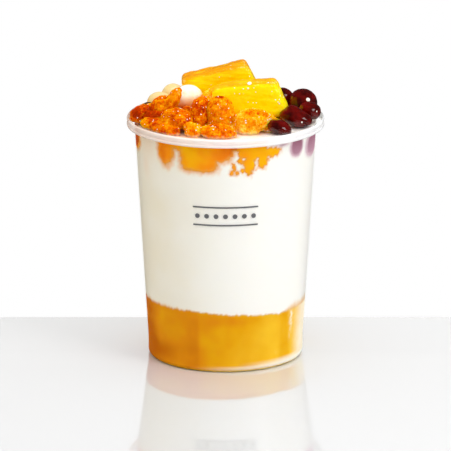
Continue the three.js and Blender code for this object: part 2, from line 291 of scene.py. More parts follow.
def mark(mesh, name, values):
    """Stores a number for each point of a mesh."""
    attribute = mesh.attributes.get(name) or mesh.attributes.new(name, "FLOAT", "POINT")
    attribute.data.foreach_set("value", np.broadcast_to(values, len(mesh.vertices)).astype(np.float32))


def new_object(name, data):
    obj = bpy.data.objects.new(name, data)
    bpy.context.scene.collection.objects.link(obj)
    return obj


def object_from(name, shape):
    """An object with the faces of a bmesh, which is freed."""
    mesh = bpy.data.meshes.new(name)
    shape.to_mesh(mesh)
    shape.free()
    return new_object(name, mesh)


def dress(obj, nodes=(), material=None):
    """Finishes a piece: it rides on the part's one body, in place of its solids."""
    if material:
        obj.data.materials.clear()
        obj.data.materials.append(material)
    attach(obj, "root")
    if nodes:
        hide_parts(*nodes)
    return obj


def smooth_step(low, high, values):
    """0 at low and before it, 1 at high and past it, and a soft slope between."""
    share = np.clip((values - low) / (high - low), 0, 1)
    return share * share * (3 - 2 * share)


def front_angle(points):
    """Angle round from the front of the cup, positive to the right, in degrees."""
    return np.degrees(np.arctan2(points[:, 0], -points[:, 1]))


def way_to(azimuth, elevation):
    """The direction from the cup at an angle to the right of the front and one above the horizon."""
    flat = math.cos(elevation)
    return Vector((math.sin(azimuth) * flat, -math.cos(azimuth) * flat, math.sin(elevation)))


def speckle(points, size, seed=0.0):
    """Smooth noise from about -1 to 1 at points, with waves of that size."""
    return np.array([noise.noise(Vector(p) / size + Vector((seed, 0, 0))) for p in points])


def principled(name, inputs=(), **plain):
    """A new material, its tree and its Principled shader, with the shader's inputs set."""
    material = bpy.data.materials.new(name)
    material.use_nodes = True
    tree = material.node_tree
    tree.nodes.clear()
    sockets = {key.replace("_", " ").title().replace("Ior", "IOR"): value for key, value in plain.items()}
    shader = add(tree, "ShaderNodeBsdfPrincipled", {**sockets, **dict(inputs)})
    add(tree, "ShaderNodeOutputMaterial", {"Surface": shader.outputs[0]})
    return material, tree, shader


# ---- Surfaces of revolution and lofts ----


def outer_radius(height):
    return BASE_RADIUS + WALL_SLOPE * height


def inner_radius(height):
    return outer_radius(height) - WALL


def fill_radius(height):
    """Where what fills the cup ends, just inside the wall's plastic."""
    return inner_radius(height) + INTO_WALL


def arc(radius, height, bend, start, end, steps):
    """Points of a round stretch of outline, as [radius, height] pairs."""
    angles = np.radians(np.linspace(start, end, steps + 1))
    return [(radius + bend * math.cos(a), height + bend * math.sin(a)) for a in angles]


def ring(radius, height):
    """A ring of points round the axis. radius and height are numbers, or one for each step."""
    angles = np.linspace(0, math.tau, STEPS_ROUND, endpoint=False)
    radius, height = np.broadcast_to(radius, STEPS_ROUND), np.broadcast_to(height, STEPS_ROUND)
    return np.stack([radius * np.cos(angles), radius * np.sin(angles), height], 1)


def side_rings(start, end, count):
    """Rings up the wall between two heights, which may differ from step to step."""
    heights = [start + share * (end - start) for share in np.linspace(0, 1, count, endpoint=False)[1:]]
    return [ring(fill_radius(height), height) for height in heights]


def tip(height):
    return np.array([[0.0, 0.0, height]])


def stacked(name, rings):
    """A closed mesh through rings of points, with a single point at each end."""
    points = np.concatenate(rings)
    starts = np.cumsum([0, *map(len, rings)])
    faces = []
    for low, high, n_low, n_high in zip(starts, starts[1:], map(len, rings), map(len, rings[1:])):
        around = max(n_low, n_high)
        for i in range(around):
            j = (i + 1) % around
            if n_low == 1:
                faces.append((low, high + j, high + i))
            elif n_high == 1:
                faces.append((low + i, low + j, high))
            else:
                faces.append((low + i, low + j, high + j, high + i))
    mesh = bpy.data.meshes.new(name)
    mesh.from_pydata(points.tolist(), [], faces)
    mesh.shade_smooth()
    if volume_of(mesh) < 0:
        mesh.flip_normals()
    return new_object(name, mesh)


def lathe_tree():
    """Turns an outline, a row of points at [radius, 0, height], round the Z axis."""
    tree, given = geometry_tree("Turn on a lathe", {
        "Steps Round": ("NodeSocketInt", 240),
        "Material": ("NodeSocketMaterial", None),
    })
    outline, steps = given["Geometry"], given["Steps Round"]
    count = add(tree, "GeometryNodeAttributeDomainSize", {"Geometry": outline}).outputs["Point Count"]
    columns = add(tree, "ShaderNodeMath", {0: steps, 1: 1.0}, operation="ADD").outputs[0]
    grid = add(tree, "GeometryNodeMeshGrid", {"Vertices X": columns, "Vertices Y": count})
    index = add(tree, "GeometryNodeInputIndex").outputs[0]
    along = add(tree, "ShaderNodeMath", {0: index, 1: count}, operation="MODULO").outputs[0]
    turns = add(tree, "ShaderNodeMath", {0: index, 1: count}, operation="DIVIDE").outputs[0]
    column = add(tree, "ShaderNodeMath", {0: turns}, operation="FLOOR").outputs[0]
    share = add(tree, "ShaderNodeMath", {0: column, 1: steps}, operation="DIVIDE").outputs[0]
    angle = add(tree, "ShaderNodeMath", {0: share, 1: math.tau}, operation="MULTIPLY").outputs[0]
    place = add(tree, "GeometryNodeInputPosition").outputs[0]
    point = add(tree, "GeometryNodeSampleIndex", {"Geometry": outline, "Value": place, "Index": along},
                data_type="FLOAT_VECTOR", domain="POINT")
    spot = add(tree, "ShaderNodeSeparateXYZ", {0: point.outputs[0]}).outputs
    cosine = add(tree, "ShaderNodeMath", {0: angle}, operation="COSINE").outputs[0]
    sine = add(tree, "ShaderNodeMath", {0: angle}, operation="SINE").outputs[0]
    x = add(tree, "ShaderNodeMath", {0: spot["X"], 1: cosine}, operation="MULTIPLY").outputs[0]
    y = add(tree, "ShaderNodeMath", {0: spot["X"], 1: sine}, operation="MULTIPLY").outputs[0]
    turned = add(tree, "ShaderNodeCombineXYZ", {"X": x, "Y": y, "Z": spot["Z"]}).outputs[0]
    moved = add(tree, "GeometryNodeSetPosition", {"Geometry": grid.outputs["Mesh"], "Position": turned})
    closed = add(tree, "GeometryNodeMergeByDistance", {"Geometry": moved.outputs[0], "Distance": 1e-6})
    smooth = add(tree, "GeometryNodeSetShadeSmooth", {"Geometry": closed.outputs[0]})
    return end_tree(tree, smooth.outputs[0], given["Material"])


# ---- Skins of the toppings ----


def relief_tree():
    """Raises folds and grains on a skin, and stores how high each point was raised."""
    tree, given = geometry_tree("Folds and grains", {
        "Fold Size": ("NodeSocketFloat", 3 * MM),
        "Fold Height": ("NodeSocketFloat", 0.4 * MM),
        "Chunk Height": ("NodeSocketFloat", 0.0),
        "Grain Size": ("NodeSocketFloat", 1 * MM),
        "Grain Height": ("NodeSocketFloat", 0.1 * MM),
        "Grain Along": ("NodeSocketFloat", 1.0),
        "Seed": ("NodeSocketFloat", 0.0),
        "Material": ("NodeSocketMaterial", None),
    })
    place = add(tree, "GeometryNodeInputPosition").outputs[0]
    fold_scale = add(tree, "ShaderNodeMath", {0: 1.0, 1: given["Fold Size"]},
                     operation="DIVIDE").outputs[0]
    grain_scale = add(tree, "ShaderNodeMath", {0: 1.0, 1: given["Grain Size"]},
                      operation="DIVIDE").outputs[0]
    folds = add(tree, "ShaderNodeTexNoise", {"Vector": place, "W": given["Seed"], "Scale": fold_scale,
                                             "Detail": 2.0}, noise_dimensions="4D").outputs[0]
    squeeze = add(tree, "ShaderNodeMath", {0: 1.0, 1: given["Grain Along"]}, operation="DIVIDE").outputs[0]
    lengthened = add(tree, "ShaderNodeCombineXYZ", {"X": squeeze, "Y": 1.0, "Z": 1.0}).outputs[0]
    drawn = add(tree, "ShaderNodeVectorMath", {0: place, 1: lengthened}, operation="MULTIPLY").outputs[0]
    grains = add(tree, "ShaderNodeTexVoronoi", {"Vector": drawn, "W": given["Seed"], "Scale": grain_scale},
                 voronoi_dimensions="4D", feature="F1").outputs["Distance"]
    chunks = add(tree, "ShaderNodeTexVoronoi", {"Vector": place, "W": given["Seed"], "Scale": fold_scale},
                 voronoi_dimensions="4D", feature="F1").outputs["Distance"]
    fold = add(tree, "ShaderNodeMath", {0: folds, 1: 2.0, 2: -1.0}, operation="MULTIPLY_ADD").outputs[0]
    grain = add(tree, "ShaderNodeMath", {0: grains, 1: -2.0, 2: 1.0}, operation="MULTIPLY_ADD").outputs[0]
    by_fold = add(tree, "ShaderNodeMath", {0: fold, 1: given["Fold Height"]},
                  operation="MULTIPLY").outputs[0]
    chunk = add(tree, "ShaderNodeMath", {0: chunks, 1: -2.0, 2: 1.0}, operation="MULTIPLY_ADD").outputs[0]
    by_chunk = add(tree, "ShaderNodeMath", {0: chunk, 1: given["Chunk Height"], 2: by_fold},
                   operation="MULTIPLY_ADD").outputs[0]
    by_grain = add(tree, "ShaderNodeMath", {0: grain, 1: given["Grain Height"], 2: by_chunk},
                   operation="MULTIPLY_ADD").outputs[0]
    normal = add(tree, "GeometryNodeInputNormal").outputs[0]
    push = add(tree, "ShaderNodeVectorMath", {0: normal, "Scale": by_grain}, operation="SCALE").outputs[0]
    both = add(tree, "ShaderNodeMath", {0: grain, 1: 0.7, 2: fold}, operation="MULTIPLY_ADD").outputs[0]
    stored = add(tree, "GeometryNodeStoreNamedAttribute",
                 {"Geometry": given["Geometry"], "Name": "relief", "Value": both},
                 data_type="FLOAT", domain="POINT")
    moved = add(tree, "GeometryNodeSetPosition", {"Geometry": stored.outputs[0], "Offset": push})
    smooth = add(tree, "GeometryNodeSetShadeSmooth", {"Geometry": moved.outputs[0]})
    return end_tree(tree, smooth.outputs[0], given["Material"])


def copy_of(name, nodes):
    """A copy of one or more solids with their loose triangles joined up."""
    shape = bmesh.new()
    for node in nodes:
        shape.from_mesh(frame["nodes"][node].data)
    bmesh.ops.remove_doubles(shape, verts=shape.verts, dist=1e-6)
    return object_from(name, shape)


def skin(name, nodes, tree, fineness, rounds, swell=0.0, **relief):
    """A fine, rounded skin with relief over solids, fused where they meet. swell thickens them first,
    and rounds is how often the skin is smoothed."""
    obj = copy_of(name, nodes)
    subdivision = obj.modifiers.new("Round", "SUBSURF")
    subdivision.levels = subdivision.render_levels = 2
    thicken = obj.modifiers.new("Swell", "DISPLACE")
    thicken.strength, thicken.mid_level = swell, 0
    remesh = obj.modifiers.new("Skin", "REMESH")
    remesh.mode, remesh.voxel_size = "VOXEL", fineness
    soften = obj.modifiers.new("Soften", "SMOOTH")
    soften.factor, soften.iterations = 0.5, rounds
    grow(obj, tree, **relief)
    return settle(obj)


def surface_of(objects):
    """A search tree over the meshes of several objects."""
    points, faces = [], []
    for obj in objects:
        start = len(points)
        points += [v.co.copy() for v in obj.data.vertices]
        faces += [[start + i for i in face.vertices] for face in obj.data.polygons]
    return BVHTree.FromPolygons(points, faces)


def stain_from(points, tree, reach):
    """How strongly something stains each point: 1 where it touches, 0 at its reach."""
    found = [tree.find_nearest(Vector(p), 2 * reach)[3] for p in points]
    away = np.array([2 * reach if d is None else d for d in found])
    return np.clip(1 - away / reach, 0, 1) ** 1.5


# ---- The cup ----


def cup_outline():
    foot_out = outer_radius(FOOT_CORNER) - FOOT_CORNER
    foot_in = foot_out - FOOT_WIDTH
    skirt_in = RIM_RADIUS - LIP_THICKNESS
    under_lip = CUP_HEIGHT - LIP_TOP
    skirt_end = CUP_HEIGHT - LIP_DROP
    mouth = CUP_HEIGHT - MOUTH_ROUND
    bead = LIP_BEAD / 2
    heights = np.linspace(FOOT_CORNER, under_lip - MOUTH_ROUND, 12)[1:]
    return [
        (0, FOOT_RECESS),
        (foot_in - FOOT_RECESS, FOOT_RECESS),
        *arc(foot_in + 0.3 * MM, 0.3 * MM, 0.3 * MM, 225, 270, 3),
        *arc(foot_out, FOOT_CORNER, FOOT_CORNER, -90, 0, 10),
        *[(outer_radius(height), height) for height in heights],
        *arc(outer_radius(under_lip) + MOUTH_ROUND, under_lip - MOUTH_ROUND, MOUTH_ROUND, 180, 90, 4),
        *arc(skirt_in - MOUTH_ROUND, under_lip - MOUTH_ROUND, MOUTH_ROUND, 90, 0, 4),
        (skirt_in, skirt_end + bead / 2),
        *arc(RIM_RADIUS - bead, skirt_end + bead, bead, 225, 360, 8),
        *arc(RIM_RADIUS, skirt_end + LIP_BEAD + LIP_WAIST, LIP_WAIST, 270, 180, 4),
        *arc(RIM_RADIUS - LIP_THICKNESS, CUP_HEIGHT - LIP_THICKNESS, LIP_THICKNESS, 0, 90, 8),
        *arc(inner_radius(mouth) + MOUTH_ROUND, mouth, MOUTH_ROUND, 90, 180, 5),
        *arc(inner_radius(FLOOR_TOP) - FLOOR_CORNER, FLOOR_TOP + FLOOR_CORNER, FLOOR_CORNER, 0, -90, 8),
        (0, FLOOR_TOP),
    ]


def plastic_material(cup):
    """Injection-moulded polypropylene: clear where it is thin, with a faint haze, and milky white on
    the outside of the lip, with a painted pink tint on the left that stands for the gum seen through it."""
    material, tree, shader = principled(
        "clear polypropylene", roughness=0.2, IOR=1.49, subsurface_weight=0.5,
        subsurface_radius=(1.0, 0.95, 0.9), subsurface_scale=2 * MM,
    )
    place = add(tree, "ShaderNodeTexCoord").outputs["Object"]
    across = add(tree, "ShaderNodeSeparateXYZ", {0: place}).outputs["X"]
    # Painted light: towards the left the lip is tinted pink, standing for the gum's colour coming through
    # it.
    side = add(tree, "ShaderNodeMapRange", {"Value": across, "From Min": -RIM_RADIUS, "From Max": 0.0})
    tint = add(tree, "ShaderNodeValToRGB", {0: side.outputs[0]},
               stops=((0.0, linear("#e8cebd")), (0.35, linear("#f6e8df")), (1.0, cup.plastic)))
    tree.links.new(tint.outputs[0], shader.inputs["Base Color"])
    flat = add(tree, "ShaderNodeVectorMath", {0: place, 1: (1, 1, 0)}, operation="MULTIPLY").outputs[0]
    far = add(tree, "ShaderNodeVectorMath", {0: flat}, operation="LENGTH").outputs["Value"]
    skin_in = RIM_RADIUS - LIP_THICKNESS
    lip = add(tree, "ShaderNodeMapRange", {
        "Value": far, "From Min": skin_in + 0.1 * MM, "From Max": skin_in + 0.5 * MM,
        "To Min": 0.0, "To Max": 0.8,
    }).outputs[0]
    gloss = add(tree, "ShaderNodeFresnel", {"IOR": 1.49}).outputs[0]
    faint = add(tree, "ShaderNodeMath", {0: gloss, 1: 0.06}, operation="MULTIPLY").outputs[0]
    share = add(tree, "ShaderNodeMath", {0: faint, 1: lip}, operation="ADD").outputs[0]
    clear = add(tree, "ShaderNodeBsdfTransparent", {"Color": linear("#fefefd")})
    both = add(tree, "ShaderNodeMixShader", {0: share, 1: clear.outputs[0], 2: shader.outputs[0]})
    output = next(n for n in tree.nodes if n.type == "OUTPUT_MATERIAL")
    tree.links.new(both.outputs[0], output.inputs["Surface"])
    return material


class DESSERT_OT_cup(bpy.types.Operator):
    """Turn the clear cup with its lip, foot and floor"""

    bl_idname = "dessert.cup"
    bl_label = "Turn the cup"

    def execute(self, context):
        cup = context.scene.dessert_cup
        points = [(radius, 0, height) for radius, height in cup_outline()]
        mesh = bpy.data.meshes.new("clear_cup")
        mesh.from_pydata(points, [(i, i + 1) for i in range(len(points) - 1)], [])
        obj = new_object("clear_cup", mesh)
        grow(obj, lathe_tree(), steps_round=cup.steps_round, material=plastic_material(cup))
        settle(obj)
        obj.data.set_sharp_from_angle(angle=math.radians(50))
        dress(obj, ["cup"])
        return {"FINISHED"}


# ---- The jelly ----

STEPS_ROUND = 480  # round the milk and the jelly
LEVEL_RINGS = 12  # across the level where they meet
JELLY_ROWS = 34  # up the jelly's side
JELLY_INSET = 0.12 * MM  # how far inside the cup's foot the jelly seems to end
# How far past its place inside the wall the jelly comes, at heights just over the foot's corner.
JELLY_FOOT_SIDE = [(3.4 * MM, 0.25 * MM), (5 * MM, 0.14 * MM), (7 * MM, 0.04 * MM), (9 * MM, 0.0)]
# How bright the jelly is painted at angles round from the front, in degrees: painted shade on the left and
# painted light on the right. Where two angles are close together the tone has an upright edge, a painted
# strip of light.
JELLY_LIGHT_AND_SHADE = [
    (-180, 0.5), (-150, 0.4), (-138, 0.4), (-134, 0.55), (-100, 0.3), (-90, 0.0), (-72, 0.06), (-60, 0.27),
    (-45, 0.28), (-30, 0.3), (-21.5, 0.26), (-18, 0.42), (0, 0.52), (18, 0.64), (34, 0.76), (42, 0.76),
    (45.5, 0.62), (52, 0.64), (56, 0.82), (75, 0.86), (90, 1.0), (120, 0.7), (127, 0.6), (180, 0.5),
]
# Painted glows and painted shades in it: each at an angle and a height, with its width and height and how
# much it adds.
JELLY_PAINTED_GLOWS_AND_SHADES = [
    (-54, 24, 12, 9, 0.14), (-45, 18, 13, 10, 0.12), (-66, 7, 40, 9, -0.22), (8, 25, 40, 5, -0.16),
    (-12, 13, 14, 13, 0.05), (36, 13, 18, 15, 0.07), (-40, 9, 30, 8, -0.05), (49, 24, 9, 12, -0.16),
    (70, 9, 22, 12, 0.1),
]
# Streaks of milk that run down into it: an angle, the lowest height, the width in degrees, the strength.
JELLY_STREAKS = [(55.5, 9, 2.4, 0.75), (59, 16, 2.0, 0.5), (52.5, 19, 1.8, 0.35), (82, 3, 9, 0.45)]


def jelly_foot():
    """The jelly's outline under its side. The thick clear foot bends the light so that the jelly seems
    to fill it, so the jelly follows the foot's own outline a little way inside it."""
    foot_out = outer_radius(FOOT_CORNER) - FOOT_CORNER
    foot_in = foot_out - FOOT_WIDTH
    recess = FOOT_RECESS + 4 * JELLY_INSET
    return [
        *[(share * (foot_in - recess), recess) for share in (0.3, 0.7, 1.0)],
        (foot_in, JELLY_INSET),
        *arc(foot_out, FOOT_CORNER, FOOT_CORNER - JELLY_INSET, -90, 0, 12),
        *[(fill_radius(height) + off, height) for height, off in JELLY_FOOT_SIDE],
    ]


def jelly_edge(points, filling):
    """The jelly's height under or over points: tilted and rippled."""
    share = np.hypot(points[:, 0], points[:, 1]) / BASE_RADIUS
    angle = np.arctan2(points[:, 1], points[:, 0])
    ripple = 0.45 * MM * np.sin(3 * angle + 0.6) * np.sin(2 * share)
    return filling.jelly_level - filling.jelly_tilt * share * np.cos(angle) + ripple


def jelly_top(radius, filling):
    """A ring of points on the jelly's top, which is ragged where it meets the wall."""
    flat = ring(radius, filling.jelly_level)
    near_wall = min(radius / BASE_RADIUS, 1) ** 6
    ragged = (0.5 * speckle(flat, 5 * MM) + 0.3 * speckle(flat, 1.3 * MM)) * MM * near_wall
    return ring(radius, jelly_edge(flat, filling) + ragged)


def jelly_top_rings(filling):
    """The jelly's top from the wall in. The milk's foot is the same."""
    radius = fill_radius(filling.jelly_level)
    rings = [jelly_top(share * radius, filling) for share in np.linspace(1, 0, LEVEL_RINGS, endpoint=False)]
    rings[0][:, :2] *= (fill_radius(rings[0][:, 2]) / radius)[:, None]
    return rings


def jelly_painted_light_and_shade(angle, height):
    """How bright the jelly is painted at an angle round the cup and a height: painted light and shade. Just
    over the table a painted glow runs along the foot."""
    tone = np.interp(angle, *np.array(JELLY_LIGHT_AND_SHADE).T)
    for middle, up, wide, tall, gain in JELLY_PAINTED_GLOWS_AND_SHADES:
        off = ((angle - middle) / wide) ** 2 + ((height / MM - up) / tall) ** 2
        tone = tone + gain * np.exp(-3 * off)
    return tone + 0.5 * smooth_step(1.1 * MM, 0.7 * MM, height)


def amber_share(points, filling):
    """How much jelly rather than milk shows at points on the wall near where the two meet: torn all
    the way round, soft on the left, and smeared up the wall on the right."""
    angle = front_angle(points)
    flat = points * (1, 1, 0.2)
    torn = (0.7 * speckle(flat, 1.1 * MM, 3) + 0.5 * speckle(flat, 4.5 * MM, 8) - 0.2) * MM
    smeared = smooth_step(42, 60, angle) * smooth_step(100, 84, angle)
    soft = (0.55 + 0.8 * smooth_step(-15, -50, angle) + 2.6 * smeared) * MM
    above = points[:, 2] - jelly_edge(points, filling) - torn - 1.2 * MM * smeared
    return smooth_step(soft, -0.6 * soft, above)


def jelly_veil(points, angle, filling):
    """How much milk shows in the jelly: at its torn top, in streaks that run down and down the far right,
    and how much painted light, a pale line along the foot that widens towards the lit side."""
    veil = 1 - amber_share(points, filling)
    waver = 1.3 * speckle(points, 4 * MM, 9)
    for middle, lowest, wide, strength in JELLY_STREAKS:
        off = (angle - middle + waver) / wide
        reach = smooth_step(lowest * MM, (lowest + 14) * MM, points[:, 2])
        broken = smooth_step(-0.7, 0.4, speckle(points, 1.1 * MM, 5))
        veil = np.maximum(veil, strength * reach * broken * np.exp(-2 * off**2))
    far_right = smooth_step(54, 76, angle) * smooth_step(110, 92, angle)
    veil = np.maximum(veil, 0.65 * far_right)
    # Painted light: a pale line of light in the clear foot, widening towards the lit side.
    lit = smooth_step(-38, 60, angle) * smooth_step(115, 90, angle)
    height = points[:, 2] / MM
    line = smooth_step(2.4 + 2.4 * lit, 1.8 + 0.8 * lit, height) * smooth_step(0.9, 1.2, height)
    return np.maximum(veil, (0.1 + 0.75 * lit) * smooth_step(0, 0.3, lit) * line)


def jelly_material(filling):
    """Set syrup jelly: cloudy amber with painted light and shade in its colour: a painted glow, yellow, on
    the lit right and along the foot, and painted shade, brown, on the left.
    """
    material, tree, shader = principled(
        "amber syrup jelly", roughness=0.4, IOR=1.36, specular_ior_level=0.0, subsurface_weight=0.2,
        subsurface_radius=(1.0, 0.4, 0.08), subsurface_scale=2 * MM,
    )
    place = add(tree, "ShaderNodeTexCoord").outputs["Object"]
    clouds = add(tree, "ShaderNodeTexNoise", {"Vector": place, "Scale": 1 / (9 * MM), "Detail": 4.0})
    tone = add(tree, "ShaderNodeAttribute", attribute_name="tone").outputs["Fac"]
    sway = add(tree, "ShaderNodeMath", {0: clouds.outputs[0], 1: 0.5, 2: -0.25}, operation="MULTIPLY_ADD")
    value = add(tree, "ShaderNodeMath", {0: tone, 1: sway.outputs[0]}, operation="ADD").outputs[0]
    body = add(tree, "ShaderNodeValToRGB", {0: value}, stops=(
        (0.0, filling.jelly_deep), (0.3, linear("#e08c10")), (0.52, filling.jelly_middle),
        (0.85, linear("#f5c22c")), (1.0, filling.jelly_bright),
    )).outputs[0]
    veil = add(tree, "ShaderNodeAttribute", attribute_name="veil").outputs["Fac"]
    mixed = add(tree, "ShaderNodeMix", {0: veil, 6: body, 7: filling.milk_white}, data_type="RGBA")
    tree.links.new(mixed.outputs[2], shader.inputs["Base Color"])
    return material


class DESSERT_OT_jelly(bpy.types.Operator):
    """Pour the amber jelly into the foot of the cup"""

    bl_idname = "dessert.jelly"
    bl_label = "Pour the jelly"

    def execute(self, context):
        filling = context.scene.dessert_filling
        foot = jelly_foot()
        top = jelly_top_rings(filling)
        sides = side_rings(foot[-1][1], top[0][:, 2], JELLY_ROWS)
        obj = stacked("amber_jelly_body", [
            tip(foot[0][1]), *[ring(radius, height) for radius, height in foot], *sides, *top,
            tip(filling.jelly_level),
        ])
        points = positions(obj.data)
        angle = front_angle(points)
        # Painted light and shade: the jelly's tone, from the angle round the cup and the height.
        mark(obj.data, "tone", jelly_painted_light_and_shade(angle, points[:, 2]))
        mark(obj.data, "veil", jelly_veil(points, angle, filling))
        obj.data.set_sharp_from_angle(angle=math.radians(60))
        dress(obj, ["amber_jelly"], jelly_material(filling))
        return {"FINISHED"}


# ---- The peach gum ----

GUM_PIECES = ("peach_gum_heap", "dark_gum_")
# Lumps that are darker than the rest and keep their own outline.
DARK_GUM = ("gum_1", "gum_2", "gum_6", "gum_7", "gum_10", "gum_14")
GUM_TONES = {  # from 0 for red-brown to 1 for yellow; the rest lie halfway
    "gum_1": 0.14, "gum_2": 0.0, "gum_3": 0.43, "gum_4": 0.46, "gum_5": 0.46, "gum_6": 0.25,
    "gum_7": 0.3, "gum_8": 0.66, "gum_9": 0.62, "gum_10": 0.34, "gum_11": 0.8, "gum_12": 0.8,
    "gum_14": 0.3, "gum_18": 0.65,
}
HEAP_COARSER = 1.22  # how much coarser the heap's skin is than the other toppings'
GUM_BLOTCHES = 1.5  # how strongly broad clouds and fine flecks sway the gum's tone
GUM_FLECKS = 1.3


def gum_material(toppings):
    """Soaked peach gum: a translucent amber gel with a painted glow that keeps its red even, flecked in
    orange and yellow, with painted light on its raised grains and thin parts and painted shade in its folds,
    so that it is red-brown where it is thick, filmed with milk at its foot, and wet all over."""
    material, tree, shader = principled(
        "peach gum", roughness=0.25, IOR=1.36, specular_ior_level=0.0, subsurface_weight=0.9,
        subsurface_radius=(1.0, 0.3, 0.03), subsurface_scale=2.6 * MM, coat_weight=0.35,
        coat_roughness=0.08, coat_IOR=1.36,
    )
    place = add(tree, "ShaderNodeTexCoord").outputs["Object"]
    relief = add(tree, "ShaderNodeAttribute", attribute_name="relief").outputs["Fac"]
    thin = add(tree, "ShaderNodeAttribute", attribute_name="thin").outputs["Fac"]
    tone = add(tree, "ShaderNodeAttribute", attribute_name="tone").outputs["Fac"]
    blotches = add(tree, "ShaderNodeTexNoise", {"Vector": place, "Scale": 1 / (5 * MM), "Detail": 3.0,
                                                "Roughness": 0.6}).outputs[0]
    flecks = add(tree, "ShaderNodeTexNoise", {"Vector": place, "Scale": 1 / (0.75 * MM), "Detail": 3.0,
                                              "Roughness": 0.65}).outputs[0]
    gel = (
        (0.0, toppings.gum_deep), (0.25, toppings.gum_red), (0.5, toppings.gum_middle),
        (0.8, toppings.gum_bright), (1.0, toppings.gum_pale),
    )
    # Each noise swings round a half, so half of what it adds is taken off first.
    middle = (GUM_BLOTCHES + GUM_FLECKS) / 2 + 0.1
    value = add(tree, "ShaderNodeMath", {0: tone, 1: middle}, operation="SUBTRACT").outputs[0]
    # Painted light and shade: relief paints raised grains lighter and folds darker, and thin paints light
    # coming through thin parts. The blotches are the gum's own tone.
    for fed, much in ((relief, 0.2), (thin, 0.35), (blotches, GUM_BLOTCHES)):
        value = add(tree, "ShaderNodeMath", {0: fed, 1: much, 2: value}, operation="MULTIPLY_ADD").outputs[0]
    fine = add(tree, "ShaderNodeMath", {0: flecks, 1: GUM_FLECKS, 2: value}, operation="MULTIPLY_ADD")
    # Painted glow: the same tone without the flecks sets the least red, so the red stays even as if lit
    # through.
    even = add(tree, "ShaderNodeMath", {0: value, 1: GUM_FLECKS / 2 + 0.08}, operation="ADD")
    flecked, glow = (
        add(tree, "ShaderNodeSeparateColor", {
            0: add(tree, "ShaderNodeValToRGB", {0: fed.outputs[0]}, stops=gel).outputs[0],
        }).outputs
        for fed in (fine, even)
    )
    red = add(tree, "ShaderNodeMath", {0: flecked["Red"], 1: glow["Red"]}, operation="MAXIMUM").outputs[0]
    tint = add(tree, "ShaderNodeCombineColor", {"Red": red, "Green": flecked["Green"],
                                                "Blue": flecked["Blue"]}).outputs[0]
    film = add(tree, "ShaderNodeAttribute", attribute_name="film").outputs["Fac"]
    mixed = add(tree, "ShaderNodeMix", {0: film, 6: tint, 7: linear("#fde4c6")}, data_type="RGBA")
    tree.links.new(mixed.outputs[2], shader.inputs["Base Color"])
    bump = add(tree, "ShaderNodeBump", {"Height": flecks, "Strength": 0.7, "Distance": 0.3 * MM})
    tree.links.new(bump.outputs[0], shader.inputs["Normal"])
    return material


def blend_of(points, values):
    """A value for each point, blended from those of the nodes that lie nearest."""
    total, weights = np.zeros(len(points)), np.full(len(points), 1e-9)
    for node, value in values.items():
        low, high = (np.array(corner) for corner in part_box(node))
        off = (points - (low + high) / 2) / ((high - low) / 2)
        weight = np.exp(-3 * np.einsum("ij,ij->i", off, off))
        total += weight * value
        weights += weight
    return total / weights


def low_glow(points, milk_level):
    """How much brighter the gum is where the milk under it throws light up into it."""
    return 0.2 * smooth_step(6 * MM, 1 * MM, points[:, 2] - milk_level)


def mark_gum(obj, tone, milk_level):
    """Stores what the gum's material reads."""
    mark(obj.data, "tone", tone + low_glow(positions(obj.data), milk_level))
    mark_thin(obj, 7 * MM)
    mark_film(obj, milk_level)


def mark_thin(obj, limit):
    """Stores how thin a piece is under each point, from 0 at a thickness of limit or more to 1."""
    tree = surface_of([obj])
    thin = []
    for vertex in obj.data.vertices:
        start = vertex.co - 0.1 * MM * vertex.normal
        away = tree.ray_cast(start, -vertex.normal, limit)[3]
        thin.append(0 if away is None else 1 - away / limit)
    mark(obj.data, "thin", thin)


def mark_film(obj, level):
    """Stores how much milk has run over each point of a piece that stands in it."""
    points = positions(obj.data)
    ragged = (0.9 * speckle(points, 1.6 * MM, 2) + 0.5 * speckle(points, 4 * MM, 6)) * MM
    mark(obj.data, "film", 0.7 * smooth_step(1.8 * MM, -0.1 * MM, points[:, 2] - level + ragged))


